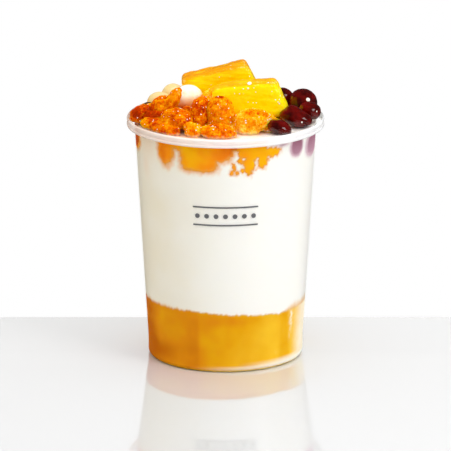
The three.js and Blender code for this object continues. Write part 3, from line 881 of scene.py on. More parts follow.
class DESSERT_OT_gum(bpy.types.Operator):
    """Lay the bank and the lumps of peach gum"""

    bl_idname = "dessert.gum"
    bl_label = "Lay the peach gum"

    def execute(self, context):
        toppings = context.scene.dessert_toppings
        milk_level = context.scene.dessert_filling.milk_level
        tree = relief_tree()
        common = dict(
            fold_size=toppings.gum_lump, fold_height=0.55 * MM, chunk_height=0.5 * MM,
            grain_size=toppings.gum_grain, grain_height=0.16 * MM, material=gum_material(toppings),
        )
        nodes = [n for n in frame["nodes"] if n.startswith("gum_") and "wall" not in n]
        fused = [n for n in nodes if n not in DARK_GUM]
        heap = skin(
            "peach_gum_heap", fused, tree, HEAP_COARSER * toppings.skin, 6, swell=0.55 * MM, seed=4.0,
            **common,
        )
        points = positions(heap.data)
        tone = blend_of(points, {n: GUM_TONES.get(n, 0.5) for n in fused if n != "gum_bed"})
        away = np.linalg.norm(points - self.peak_of("gum_8", points), axis=1)
        mark_gum(heap, tone - 0.8 * smooth_step(2.6 * MM, 0.8 * MM, away), milk_level)
        dress(heap, fused)
        for node in DARK_GUM:
            name = f"dark_{node}_lump"
            lump = skin(
                name, [node], tree, toppings.skin, 4, swell=0.8 * MM, seed=float(len(name)), **common
            )
            points = positions(lump.data)
            from_middle = (points - points.mean(0)) / (np.ptp(points, axis=0) / 2)
            # Painted light: each dark lump is painted lighter towards its edges, where light comes through
            # it.
            rim = smooth_step(0.55, 1.1, np.linalg.norm(from_middle, axis=1))
            mark_gum(lump, GUM_TONES[node] + 0.16 * rim, milk_level)
            dress(lump, [node])
        return {"FINISHED"}

    def peak_of(self, node, points):
        """The highest point near the middle of one lump, where the gum is dark red."""
        low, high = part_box(node)
        near = (np.abs(points[:, 0] - (low.x + high.x) / 2) < 5 * MM) & (points[:, 1] < high.y)
        return points[near][points[near][:, 2].argmax()]


# ---- What is pressed to the wall ----

# Gum pressed to the wall, as flat patches: each at an angle round from the front and so far below the
# milk's level, with its width, height and how square its corners are. All in degrees and millimetres.
# ragged and soft are how far the edge strays and fades, halo is how far the gum tints the milk beyond
# it, and tone is how yellow it is on the left, in the middle and on the right.
WALL_GUM = {
    "gum_wall_1": {
        "patches": [
            (-17.5, 6.6, 17.4, 15.4, 5), (-41.5, 5.8, 9.6, 14.4, 1.9), (-34, 2.8, 14, 5, 2.5),
            (-3.5, 4.6, 12, 10, 2), (3, 2.4, 9, 5, 2.5),
        ],
        "ragged": 0.8, "soft": 1.5, "halo": 3.4, "tone": (0.4, 0.95, 0.25),
    },
    "gum_wall_2": {
        "patches": [
            (16.5, 4.6, 13.6, 8.4, 2.6), (15.4, 10, 5.6, 11.4, 2), (24.5, 7.6, 5.4, 11.6, 2),
            (31, 6.2, 8.4, 4.4, 2), (9.6, 9.4, 3.2, 2.4, 2), (5, 12.4, 1.7, 3.4, 2), (8, 15, 2.6, 1.2, 2),
            (10.6, 13.4, 1.6, 2.6, 2), (4, 14.4, 1.3, 1.6, 2),
        ],
        "ragged": 1.0, "soft": 0.9, "halo": 1.3, "tone": (0.6, 0.9, 1.0),
    },
    "gum_wall_3": {
        "patches": [(-86, 5, 22, 14, 2.5)],
        "ragged": 0.6, "soft": 1.6, "halo": 2.6, "tone": (-0.2, -0.2, -0.1),
    },
}
WALL_PEARLS = {
    "pearl_wall_1": {
        "patches": [(52, 6, 9.4, 10, 2.2), (39, 3.6, 5, 1.4, 2)], "ragged": 0.25, "soft": 1.6, "halo": 1.6,
    },
    "pearl_wall_2": {
        "patches": [(75, 8.2, 17.6, 11.4, 2.3)], "ragged": 0.25, "soft": 1.8, "halo": 1.8,
    },
}
PATCH_STEP = 0.4 * MM  # from one point of a pressed piece to the next
PATCH_DEPTH = 2.5 * MM  # from its front to its back
PATCH_SLOPE = 0.4  # how steeply it sinks into the milk outside its edge
PATCH_PROUD = 0.12 * MM  # how far it stands out of the milk's side
PATCH_SUNK = 1.2 * MM  # how deep it sinks


def inside_patches(points, pressed, milk_level):
    """How far points on the wall lie inside the ragged edge of the patches, or outside if negative."""
    angle, height = front_angle(points), points[:, 2]
    radius = inner_radius(milk_level)
    best = np.full(len(points), -1.0)
    for middle, below, wide, tall, square in pressed["patches"]:
        across = np.abs(np.radians(angle - middle)) * radius / (wide * MM / 2)
        up = np.abs(height - (milk_level - below * MM)) / (tall * MM / 2)
        rho = (across**square + up**square) ** (1 / square)
        best = np.maximum(best, (1 - rho) * min(wide, tall) * MM / 2)
    close = best > -3 * MM
    ragged = np.zeros(len(points))
    ragged[close] = speckle(points[close], 1.9 * MM) + 0.6 * speckle(points[close], 0.8 * MM, 7)
    return best + pressed["ragged"] * MM * ragged


def sheet_faces(columns, rows):
    """Faces of a closed slab: a front grid, a back grid after it, and the edges between them."""
    total = columns * rows
    faces = []
    for j in range(rows - 1):
        for i in range(columns - 1):
            a = j * columns + i
            quad = (a, a + 1, a + 1 + columns, a + columns)
            faces.append(quad)
            faces.append(tuple(total + k for k in reversed(quad)))
    border = [
        *range(columns - 1),
        *[j * columns + columns - 1 for j in range(rows - 1)],
        *[(rows - 1) * columns + i for i in range(columns - 1, 0, -1)],
        *[j * columns for j in range(rows - 1, 0, -1)],
    ]
    for a, b in zip(border, border[1:] + border[:1]):
        faces.append((b, a, total + a, total + b))
    return faces


def wall_piece(name, pressed, milk_level):
    """A closed slab of gum or tapioca on the wall, sunk into the milk outside its ragged edge."""
    patches = np.array([p[:4] for p in pressed["patches"]])
    radius = inner_radius(milk_level)
    reach = np.degrees(patches[:, 2] * MM / 2 / radius) + 4
    left, right = (patches[:, 0] - reach).min(), (patches[:, 0] + reach).max()
    low = milk_level - (patches[:, 1] + patches[:, 3] / 2).max() * MM - 2 * MM
    high = min(milk_level - (patches[:, 1] - patches[:, 3] / 2).min() * MM + 1 * MM, milk_level - 0.4 * MM)
    columns = int(np.radians(right - left) * radius / PATCH_STEP)
    rows = int((high - low) / PATCH_STEP)
    angle, height = np.meshgrid(np.radians(np.linspace(left, right, columns)), np.linspace(low, high, rows))
    angle, height = angle.ravel(), height.ravel()

    def on_wall(off):
        far = fill_radius(height) + off
        return np.stack([far * np.sin(angle), -far * np.cos(angle), height], 1)

    inside = inside_patches(on_wall(0), pressed, milk_level)
    front = on_wall(np.clip(inside * PATCH_SLOPE, -PATCH_SUNK, PATCH_PROUD))
    back = on_wall(-PATCH_DEPTH)
    mesh = bpy.data.meshes.new(name)
    mesh.from_pydata(np.concatenate([front, back]).tolist(), [], sheet_faces(columns, rows))
    mesh.shade_smooth()
    if volume_of(mesh) < 0:
        mesh.flip_normals()
    mark(mesh, "inside", np.tile(smooth_step(0, pressed["soft"] * MM, inside), 2))
    if "tone" in pressed:
        share = (np.degrees(angle) - left) / (right - left)
        mark(mesh, "tone", np.tile(np.interp(share, (0.15, 0.45, 0.85), pressed["tone"]), 2))
    return new_object(name, mesh)


def pressed_gum_material(filling):
    """Peach gum pressed flat against the wall: smooth, glowing, and veiled by milk at its edge."""
    material, tree, shader = principled(
        "peach gum behind the wall", roughness=0.4, IOR=1.38, specular_ior_level=0.0, subsurface_weight=0.3,
        subsurface_radius=(1.0, 0.4, 0.08), subsurface_scale=2 * MM,
    )
    place = add(tree, "ShaderNodeTexCoord").outputs["Object"]
    tone = add(tree, "ShaderNodeAttribute", attribute_name="tone").outputs["Fac"]
    inside = add(tree, "ShaderNodeAttribute", attribute_name="inside").outputs["Fac"]
    clouds = add(tree, "ShaderNodeTexNoise", {"Vector": place, "Scale": 1 / (5 * MM), "Detail": 3.0})
    sway = add(tree, "ShaderNodeMath", {0: clouds.outputs[0], 1: 0.7, 2: -0.35}, operation="MULTIPLY_ADD")
    value = add(tree, "ShaderNodeMath", {0: tone, 1: sway.outputs[0]}, operation="ADD").outputs[0]
    tint = add(tree, "ShaderNodeValToRGB", {0: value}, stops=(
        (0.0, linear("#b8480c")), (0.3, linear("#f27e14")), (0.55, linear("#fd9614")),
        (1.0, linear("#ffb80c")),
    )).outputs[0]
    mixed = add(tree, "ShaderNodeMix", {0: inside, 6: filling.stain_gum, 7: tint}, data_type="RGBA")
    tree.links.new(mixed.outputs[2], shader.inputs["Base Color"])
    return material


class DESSERT_OT_wall_gum(bpy.types.Operator):
    """Press the gum that has run down against the wall"""

    bl_idname = "dessert.wall_gum"
    bl_label = "Press the gum to the wall"

    def execute(self, context):
        filling = context.scene.dessert_filling
        material = pressed_gum_material(filling)
        for node, wall_gum in WALL_GUM.items():
            obj = wall_piece(f"{node}_pressed", wall_gum, filling.milk_level)
            dress(obj, [node], material)
        return {"FINISHED"}


# ---- The mango and the rice balls ----

# How yellow each bar of mango is, and how much more orange where it lay under the skin.
MANGO_TONES = {"mango_1": (1.3, 0.88), "mango_2": (0.58, 0.46)}


def mango_material(toppings):
    """Ripe mango flesh: dense, wet and yellow, with fine fibres along it and orange near the skin, and a
    painted highlight, pale and broken, along its sharp edges.
    """
    material, tree, shader = principled(
        "ripe mango flesh", roughness=0.3, IOR=1.36, specular_ior_level=0.1, subsurface_weight=0.6,
        subsurface_radius=(1.0, 0.7, 0.01), subsurface_scale=2.5 * MM, coat_weight=0.4,
        coat_roughness=0.1, coat_IOR=1.36,
    )
    place = add(tree, "ShaderNodeTexCoord").outputs["Object"]
    drawn = add(tree, "ShaderNodeMapping", {"Vector": place, "Rotation": (0, math.radians(-9), 0),
                                            "Scale": (1 / (14 * MM), 1 / (3 * MM), 1 / (2.2 * MM))})
    fibres = add(tree, "ShaderNodeTexNoise", {"Vector": drawn.outputs[0], "Scale": 1.0, "Detail": 4.0,
                                              "Roughness": 0.6})
    ridge = add(tree, "ShaderNodeAttribute", attribute_name="ridge").outputs["Fac"]
    tone = add(tree, "ShaderNodeAttribute", attribute_name="tone").outputs["Fac"]
    sway = add(tree, "ShaderNodeMath", {0: fibres.outputs[0], 1: 1.3, 2: -0.65}, operation="MULTIPLY_ADD")
    value = add(tree, "ShaderNodeMath", {0: tone, 1: sway.outputs[0]}, operation="ADD").outputs[0]
    tint = add(tree, "ShaderNodeValToRGB", {0: value}, stops=(
        (0.0, toppings.mango_deep), (0.35, toppings.mango_middle), (0.75, toppings.mango_bright),
    )).outputs[0]
    # Painted highlight: sharp edges (ridge) are paled, broken up by fine noise.
    crumbs = add(tree, "ShaderNodeTexNoise", {"Vector": place, "Scale": 1 / (1.2 * MM), "Detail": 2.0})
    torn = add(tree, "ShaderNodeMath", {0: crumbs.outputs[0], 1: 1.6, 2: ridge}, operation="MULTIPLY_ADD")
    pale = add(tree, "ShaderNodeMapRange", {"Value": torn.outputs[0], "From Min": 1.35, "From Max": 1.8,
                                            "To Min": 0.0, "To Max": 0.55}).outputs[0]
    mixed = add(tree, "ShaderNodeMix", {0: pale, 6: tint, 7: linear("#ffe88c")}, data_type="RGBA")
    tree.links.new(mixed.outputs[2], shader.inputs["Base Color"])
    bump = add(tree, "ShaderNodeBump", {"Height": fibres.outputs[0], "Strength": 0.5, "Distance": 0.4 * MM})
    tree.links.new(bump.outputs[0], shader.inputs["Normal"])
    return material


def rice_material(toppings):
    """Boiled glutinous rice dough: smooth, matt to satin, cream, stained by the gum at its foot."""
    material, tree, shader = principled(
        "glutinous rice dough", roughness=0.45, IOR=1.4, subsurface_weight=0.4,
        subsurface_radius=(1.0, 0.88, 0.6), subsurface_scale=1.5 * MM, coat_weight=0.2, coat_roughness=0.2,
    )
    place = add(tree, "ShaderNodeTexCoord").outputs["Object"]
    mottle = add(tree, "ShaderNodeTexNoise", {"Vector": place, "Scale": 1 / (3 * MM), "Detail": 3.0})
    cream = add(tree, "ShaderNodeAttribute", attribute_name="cream").outputs["Fac"]
    value = add(tree, "ShaderNodeMath", {0: mottle.outputs[0], 1: cream}, operation="SUBTRACT").outputs[0]
    tint = add(tree, "ShaderNodeValToRGB", {0: value},
               stops=((0.0, linear("#e4ca8c")), (0.5, toppings.rice))).outputs[0]
    stain = add(tree, "ShaderNodeAttribute", attribute_name="gum_stain").outputs["Fac"]
    mixed = add(tree, "ShaderNodeMix", {0: stain, 6: tint, 7: linear("#f7b445")}, data_type="RGBA")
    tree.links.new(mixed.outputs[2], shader.inputs["Base Color"])
    return material


def mark_ridges(mesh, rounds):
    """Stores how sharply each point stands out from those round it, from -1 in a groove to 1."""
    points = positions(mesh)
    edges = np.empty(len(mesh.edges) * 2, np.int32)
    mesh.edges.foreach_get("vertices", edges)
    a, b = edges.reshape(-1, 2).T
    count = np.bincount(np.concatenate([a, b]), minlength=len(points))[:, None]

    def average(values):
        total = np.zeros_like(values)
        np.add.at(total, a, values[b])
        np.add.at(total, b, values[a])
        return total / count

    flat = points
    for _ in range(rounds):
        flat = average(flat)
    proud = np.einsum("ij,ij->i", points - flat, normals_of(mesh))
    mark(mesh, "ridge", np.clip(proud / (4 * proud.std() + 1e-9), -1, 1))


class DESSERT_OT_mango(bpy.types.Operator):
    """Lay the two bars of mango"""

    bl_idname = "dessert.mango"
    bl_label = "Lay the mango"

    def execute(self, context):
        toppings = context.scene.dessert_toppings
        tree = bpy.data.node_groups["Folds and grains"]
        flesh = mango_material(toppings)
        for number in (1, 2):
            node = f"mango_{number}"
            obj = skin(
                f"{node}_bar", [node], tree, toppings.skin, 4, swell=0.15 * MM, fold_size=6 * MM,
                fold_height=0.5 * MM, chunk_height=0.3 * MM, grain_size=1.6 * MM, grain_height=0.13 * MM,
                grain_along=4.0, seed=float(number), material=flesh,
            )
            # Ridges, for the painted highlight along the sharp edges.
            mark_ridges(obj.data, 6)
            low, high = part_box(node)
            points = positions(obj.data)
            up = (points[:, 2] - low.z) / (high.z - low.z)
            along = (points[:, 0] - low.x) / (high.x - low.x)
            facing_up = smooth_step(0.25, 0.85, normals_of(obj.data)[:, 2])
            fresh, peel = MANGO_TONES[node]
            tone = fresh - peel * (facing_up + 0.3 * smooth_step(0.7, 1.0, up))
            # Painted shade: the left end of each bar is painted darker and more orange.
            mark(obj.data, "tone", tone - 0.3 * smooth_step(0.25, 0, along))
            dress(obj, [node])
        return {"FINISHED"}


class DESSERT_OT_rice(bpy.types.Operator):
    """Lay the rice balls, stained by the gum beside them"""

    bl_idname = "dessert.rice"
    bl_label = "Lay the rice balls"

    def execute(self, context):
        toppings = context.scene.dessert_toppings
        tree = bpy.data.node_groups["Folds and grains"]
        dough = rice_material(toppings)
        gum = surface_of([o for o in bpy.data.objects if o.name.startswith(GUM_PIECES)])
        for number in (1, 2, 3, 4):
            node = f"rice_ball_{number}"
            obj = skin(
                f"{node}_dough", [node], tree, toppings.skin, 14, swell=0.3 * MM, fold_size=5 * MM,
                fold_height=0.3 * MM, grain_size=1.4 * MM, grain_height=0.03 * MM, seed=float(number),
                material=dough,
            )
            mark(obj.data, "gum_stain", stain_from(positions(obj.data), gum, 5.5 * MM) ** 0.6)
            mark(obj.data, "cream", 0.0 if number == 1 else 0.6)  # the front ball is the whitest
            dress(obj, [node])
        return {"FINISHED"}


# ---- The tapioca ----


def tapioca_material(toppings):
    """Boiled tapioca in brown sugar: a dark, glassy gel that lets a little red through."""
    material, tree, shader = principled(
        "brown sugar tapioca", roughness=0.15, IOR=1.42, specular_ior_level=0.3, subsurface_weight=0.2,
        subsurface_radius=(1.0, 0.1, 0.05), subsurface_scale=1.2 * MM, coat_weight=0.6,
        coat_roughness=0.04, coat_IOR=1.4,
    )
    place = add(tree, "ShaderNodeTexCoord").outputs["Object"]
    clouds = add(tree, "ShaderNodeTexNoise", {"Vector": place, "Scale": 1 / (5 * MM), "Detail": 2.0})
    tint = add(tree, "ShaderNodeValToRGB", {0: clouds.outputs[0]},
               stops=((0.35, toppings.tapioca), (0.85, toppings.tapioca_thin)))
    tree.links.new(tint.outputs[0], shader.inputs["Base Color"])
    return material


def veiled_tapioca_material(filling):
    """Tapioca seen through the wall and a film of milk: mauve and soft."""
    material, tree, shader = principled("tapioca behind a film of milk", roughness=0.4, IOR=1.4,
                                        specular_ior_level=0.0)
    place = add(tree, "ShaderNodeTexCoord").outputs["Object"]
    height = add(tree, "ShaderNodeSeparateXYZ", {0: place}).outputs["Z"]
    share = add(tree, "ShaderNodeMapRange", {"Value": height, "From Min": 97 * MM, "From Max": 107 * MM})
    tint = add(tree, "ShaderNodeValToRGB", {0: share.outputs[0]},
               stops=((0.1, linear("#ba90a2")), (0.9, linear("#9c687c")))).outputs[0]
    inside = add(tree, "ShaderNodeAttribute", attribute_name="inside").outputs["Fac"]
    mixed = add(tree, "ShaderNodeMix", {0: inside, 6: filling.stain_pearl, 7: tint}, data_type="RGBA")
    tree.links.new(mixed.outputs[2], shader.inputs["Base Color"])
    return material


class DESSERT_OT_pearls(bpy.types.Operator):
    """Scatter the tapioca pearls, on the milk and behind the wall"""

    bl_idname = "dessert.pearls"
    bl_label = "Scatter the tapioca"

    def execute(self, context):
        toppings, filling = context.scene.dessert_toppings, context.scene.dessert_filling
        tree = bpy.data.node_groups["Folds and grains"]
        bare = tapioca_material(toppings)
        for node in [n for n in frame["nodes"] if n.startswith("pearl_") and "wall" not in n]:
            obj = skin(
                f"tapioca_{node}", [node], tree, toppings.skin, 12, swell=0.35 * MM, fold_size=5 * MM,
                fold_height=0.45 * MM, grain_size=2 * MM, grain_height=0.02 * MM, seed=2.0, material=bare,
            )
            dress(obj, [node])
        veiled = veiled_tapioca_material(filling)
        for node, pearl in WALL_PEARLS.items():
            obj = wall_piece(f"{node}_pressed", pearl, filling.milk_level)
            dress(obj, [node], veiled)
        return {"FINISHED"}


# ---- The milk ----

# Where syrup has tinted the milk behind the wall: an angle and a height, how wide and tall, how strongly.
WALL_SMEARS = [(-63, 94, 5, 6, 0.16), (-60, 106, 14, 9, 0.2)]
MILK_ROWS = 110  # up the milk's side
MILK_RINGS = 52  # across its top, closer together near the wall


def milk_material(filling):
    """Whole milk: opaque and softly glowing, with painted shade, darker and warmer, on its left side,
    stained next to the gum and the tapioca, and streaked with amber just above the jelly."""
    material, tree, shader = principled(
        "milk", roughness=0.32, IOR=1.35, subsurface_weight=0.25,
        subsurface_radius=(1.0, 0.9, 0.75), subsurface_scale=2 * MM,
    )
    place = add(tree, "ShaderNodeTexCoord").outputs["Object"]
    # Painted shade: cream darkens and warms the milk towards its left side.
    cream = add(tree, "ShaderNodeAttribute", attribute_name="cream").outputs["Fac"]
    swirl = add(tree, "ShaderNodeTexNoise", {"Vector": place, "Scale": 1 / (20 * MM), "Detail": 2.0})
    soft = add(tree, "ShaderNodeMapRange", {"Value": swirl.outputs[0], "From Min": 0.3, "From Max": 0.7,
                                            "To Min": 0.75, "To Max": 1.2}).outputs[0]
    share = add(tree, "ShaderNodeMath", {0: cream, 1: soft}, operation="MULTIPLY", use_clamp=True)
    last = add(tree, "ShaderNodeMix", {0: share.outputs[0], 6: filling.milk_white, 7: filling.milk_cream},
               data_type="RGBA").outputs[2]
    for name, tint in (("gum_stain", filling.stain_gum), ("pearl_stain", filling.stain_pearl),
                       ("jelly_stain", filling.jelly_middle)):
        stain = add(tree, "ShaderNodeAttribute", attribute_name=name).outputs["Fac"]
        last = add(tree, "ShaderNodeMix", {0: stain, 6: last, 7: tint}, data_type="RGBA").outputs[2]
    tree.links.new(last, shader.inputs["Base Color"])
    return material


class DESSERT_OT_milk(bpy.types.Operator):
    """Pour the milk round the toppings, and stain it where it touches them"""

    bl_idname = "dessert.milk"
    bl_label = "Pour the milk"

    def execute(self, context):
        filling = context.scene.dessert_filling
        level = filling.milk_level
        bottom = jelly_top_rings(filling)[::-1]
        wall_top = level + MENISCUS
        sides = side_rings(bottom[-1][:, 2], wall_top, MILK_ROWS)
        edge = fill_radius(wall_top)
        top = []
        for share in 1 - np.linspace(0, 1, MILK_RINGS, endpoint=False) ** 1.3:
            radius = share * edge
            rise = MENISCUS * math.exp((radius - edge) / MENISCUS_REACH)
            across = ring(radius, level + rise)
            across[:, 2] += 0.1 * MM * speckle(across, 7 * MM)
            top.append(across)
        obj = stacked("milk_body", [tip(filling.jelly_level), *bottom, *sides, *top, tip(level)])
        points = positions(obj.data)
        # Painted shade, stored as cream: full on the left side and gone on the right.
        mark(obj.data, "cream", smooth_step(18 * MM, -44 * MM, points[:, 0]) ** 1.4)
        self.stain(obj.data, points, filling)
        obj.data.set_sharp_from_angle(angle=math.radians(60))
        dress(obj, ["milk"], milk_material(filling))
        return {"FINISHED"}

    def stain(self, mesh, points, filling):
        """Stores how strongly the gum, the tapioca and the jelly tint the milk at each point."""
        level = filling.milk_level
        on_top = points[:, 2] > level - 0.3 * MM
        at_wall = (points[:, 2] > level - 26 * MM) & (np.hypot(*points[:, :2].T) > 38 * MM)
        gum, pearl = np.zeros(len(points)), np.zeros(len(points))
        for prefix, stain in ((GUM_PIECES, gum), ("tapioca_", pearl)):
            tree = surface_of([o for o in bpy.data.objects if o.name.startswith(prefix)])
            stain[on_top] = 0.8 * stain_from(points[on_top], tree, 2.6 * MM)
        for stain, pieces in ((gum, WALL_GUM), (pearl, WALL_PEARLS)):
            for pressed in pieces.values():
                inside = inside_patches(points[at_wall], pressed, level)
                near = smooth_step(-pressed["halo"] * MM, 0.3 * MM, inside)
                stain[at_wall] = np.maximum(stain[at_wall], 0.85 * near**1.5)
        angle, height = front_angle(points), points[:, 2] / MM
        for middle, up, wide, tall, share in WALL_SMEARS:
            off = ((angle - middle) / wide) ** 2 + ((height - up) / tall) ** 2
            gum = np.maximum(gum, share * np.exp(-off))
        mark(mesh, "gum_stain", gum)
        mark(mesh, "pearl_stain", pearl)
        low = points[:, 2] - filling.jelly_level < 8 * MM
        jelly = np.zeros(len(points))
        jelly[low] = 0.92 * amber_share(points[low], filling)
        mark(mesh, "jelly_stain", jelly)


# ---- The painted glints ----

# White dots of painted glint on the front of the mango and the tapioca: each at so many millimetres right of
# the middle and above the table, as seen on an upright plane through the middle of the cup, and its width.
MANGO_SPOTS = [
    (10.9, 127.1, 2.10), (10.3, 124.7, 0.90), (8.1, 124.5, 0.50), (12.9, 125.0, 0.45),
    (19.4, 127.5, 0.55), (6.4, 122.2, 0.50), (12.6, 118.0, 0.50), (14.0, 118.0, 0.45),
    (10.3, 118.3, 0.45), (22.8, 119.4, 0.60), (23.9, 118.3, 0.50), (24.5, 117.6, 0.70),
    (24.5, 119.6, 0.50), (24.9, 121.2, 0.50), (21.1, 123.3, 0.45), (18.1, 113.8, 0.60),
    (21.1, 112.4, 0.65), (26.9, 114.8, 0.50), (4.1, 125.0, 0.50),
]
TAPIOCA_SPOTS = [(37.6, 119.4, 2.0), (34.8, 108.8, 0.8), (41.6, 113.9, 0.7)]
GLINTS_ABOVE = 112.5 * MM


def glint_material():
    """Painted glints: white, glossy dots that stand for highlights on what they lie on."""
    material, _, _ = principled("syrup drop", {"Base Color": linear("#fffdf4")}, roughness=0.05, IOR=1.36,
                                coat_weight=1.0, coat_roughness=0.03)
    return material


def joined_copy(name, objects):
    """One mesh made of copies of several objects."""
    shape = bmesh.new()
    for obj in objects:
        shape.from_mesh(obj.data)
    return object_from(name, shape)


def glint_dots_tree():
    """Small flattened white dots of painted glint scattered on a surface where it stands clear of the rim.
    """
    tree, given = geometry_tree("Drops", {
        "Density": ("NodeSocketFloat", 1e4),
        "Size": ("NodeSocketFloat", 0.3 * MM),
        "Seed": ("NodeSocketInt", 0),
        "Material": ("NodeSocketMaterial", None),
    })
    spots = add(tree, "GeometryNodeDistributePointsOnFaces",
                {"Mesh": given["Geometry"], "Density": given["Density"], "Seed": given["Seed"]})
    place = add(tree, "GeometryNodeInputPosition").outputs[0]
    height = add(tree, "ShaderNodeSeparateXYZ", {0: place}).outputs["Z"]
    sunk = add(tree, "FunctionNodeCompare", {0: height, 1: GLINTS_ABOVE}, operation="LESS_THAN").outputs[0]
    shown = add(tree, "GeometryNodeDeleteGeometry",
                {"Geometry": spots.outputs["Points"], "Selection": sunk})
    drop = add(tree, "GeometryNodeMeshIcoSphere", {"Radius": 1.0, "Subdivisions": 2}).outputs[0]
    wide = add(tree, "FunctionNodeRandomValue", {2: 0.5, 3: 1.3, "Seed": given["Seed"]}).outputs[1]
    size = add(tree, "ShaderNodeMath", {0: wide, 1: given["Size"]}, operation="MULTIPLY").outputs[0]
    flat = add(tree, "ShaderNodeCombineXYZ", {"X": 1.0, "Y": 1.0, "Z": 0.5}).outputs[0]
    scale = add(tree, "ShaderNodeVectorMath", {0: flat, "Scale": size}, operation="SCALE").outputs[0]
    drops = add(tree, "GeometryNodeInstanceOnPoints",
                {"Points": shown.outputs[0], "Instance": drop, "Rotation": spots.outputs["Rotation"],
                 "Scale": scale})
    smooth = add(tree, "GeometryNodeSetShadeSmooth", {"Geometry": drops.outputs[0]})
    return end_tree(tree, smooth.outputs[0], given["Material"])


class DESSERT_OT_glints(bpy.types.Operator):
    """Dot the fruit and the gum with small white dots of painted glint"""

    bl_idname = "dessert.drops"
    bl_label = "Dot on the glints"

    def execute(self, context):
        material = glint_material()
        tree = glint_dots_tree()
        gum = joined_copy("gum_drops", [o for o in bpy.data.objects if o.name.startswith(GUM_PIECES)])
        grow(gum, tree, density=0.045e6, size=0.27 * MM, seed=8, material=material)
        dress(settle(gum))
        bars = joined_copy("mango_glints", [o for o in bpy.data.objects if o.name.endswith("_bar")])
        grow(bars, tree, density=0.008e6, size=0.25 * MM, seed=5, material=material)
        dress(settle(bars))
        stage = context.scene.dessert_stage
        self.wet_front(stage, "mango", MANGO_SPOTS, material)
        self.wet_front(stage, "tapioca", TAPIOCA_SPOTS, material)
        return {"FINISHED"}

    def wet_front(self, stage, slot, spots, material):
        """The painted glints on the front of the pieces in a slot, each laid in line with its spot."""
        tree = surface_of([o for o in bpy.data.objects if o.name.startswith(f"{slot}_")])
        eye = Vector((0, 0, stage.aim)) + stage.distance * way_to(0, stage.elevation)
        shape = bmesh.new()
        for x, z, wide in spots:
            hit, normal, _, _ = tree.ray_cast(eye, Vector((x * MM, 0, z * MM)) - eye)
            if hit is None:
                raise ValueError(f"nothing behind the drop at {x}, {z}")
            half = wide * MM / 2
            bmesh.ops.create_icosphere(shape, subdivisions=2, radius=1, matrix=Matrix.LocRotScale(
                hit, normal.to_track_quat("Z", "X"), Vector((half, half, 0.35 * half))))
        obj = object_from(f"{slot}_wet_front", shape)
        obj.data.shade_smooth()
        dress(obj, material=material)


# ---- The ornament ----

ORNAMENT_HEIGHT = 75 * MM
ORNAMENT_LINES = 4.2 * MM  # from the dots to each line
LINE_WIDE = 0.7 * MM
INK_THICK = 0.03 * MM


def ink_material(cup):
    """Screen-printed ink: flat, dark grey and slightly matt on the glossy plastic."""
    material, tree, shader = principled("screen ink", roughness=0.45, IOR=1.5)
    place = add(tree, "ShaderNodeTexCoord").outputs["Object"]
    weave = add(tree, "ShaderNodeTexNoise", {"Vector": place, "Scale": 1 / (0.5 * MM), "Detail": 2.0})
    tint = add(tree, "ShaderNodeValToRGB", {0: weave.outputs[0]},
               stops=((0.35, cup.ink), (0.75, linear("#6d6d6f"))))
    tree.links.new(tint.outputs[0], shader.inputs["Base Color"])
    return material


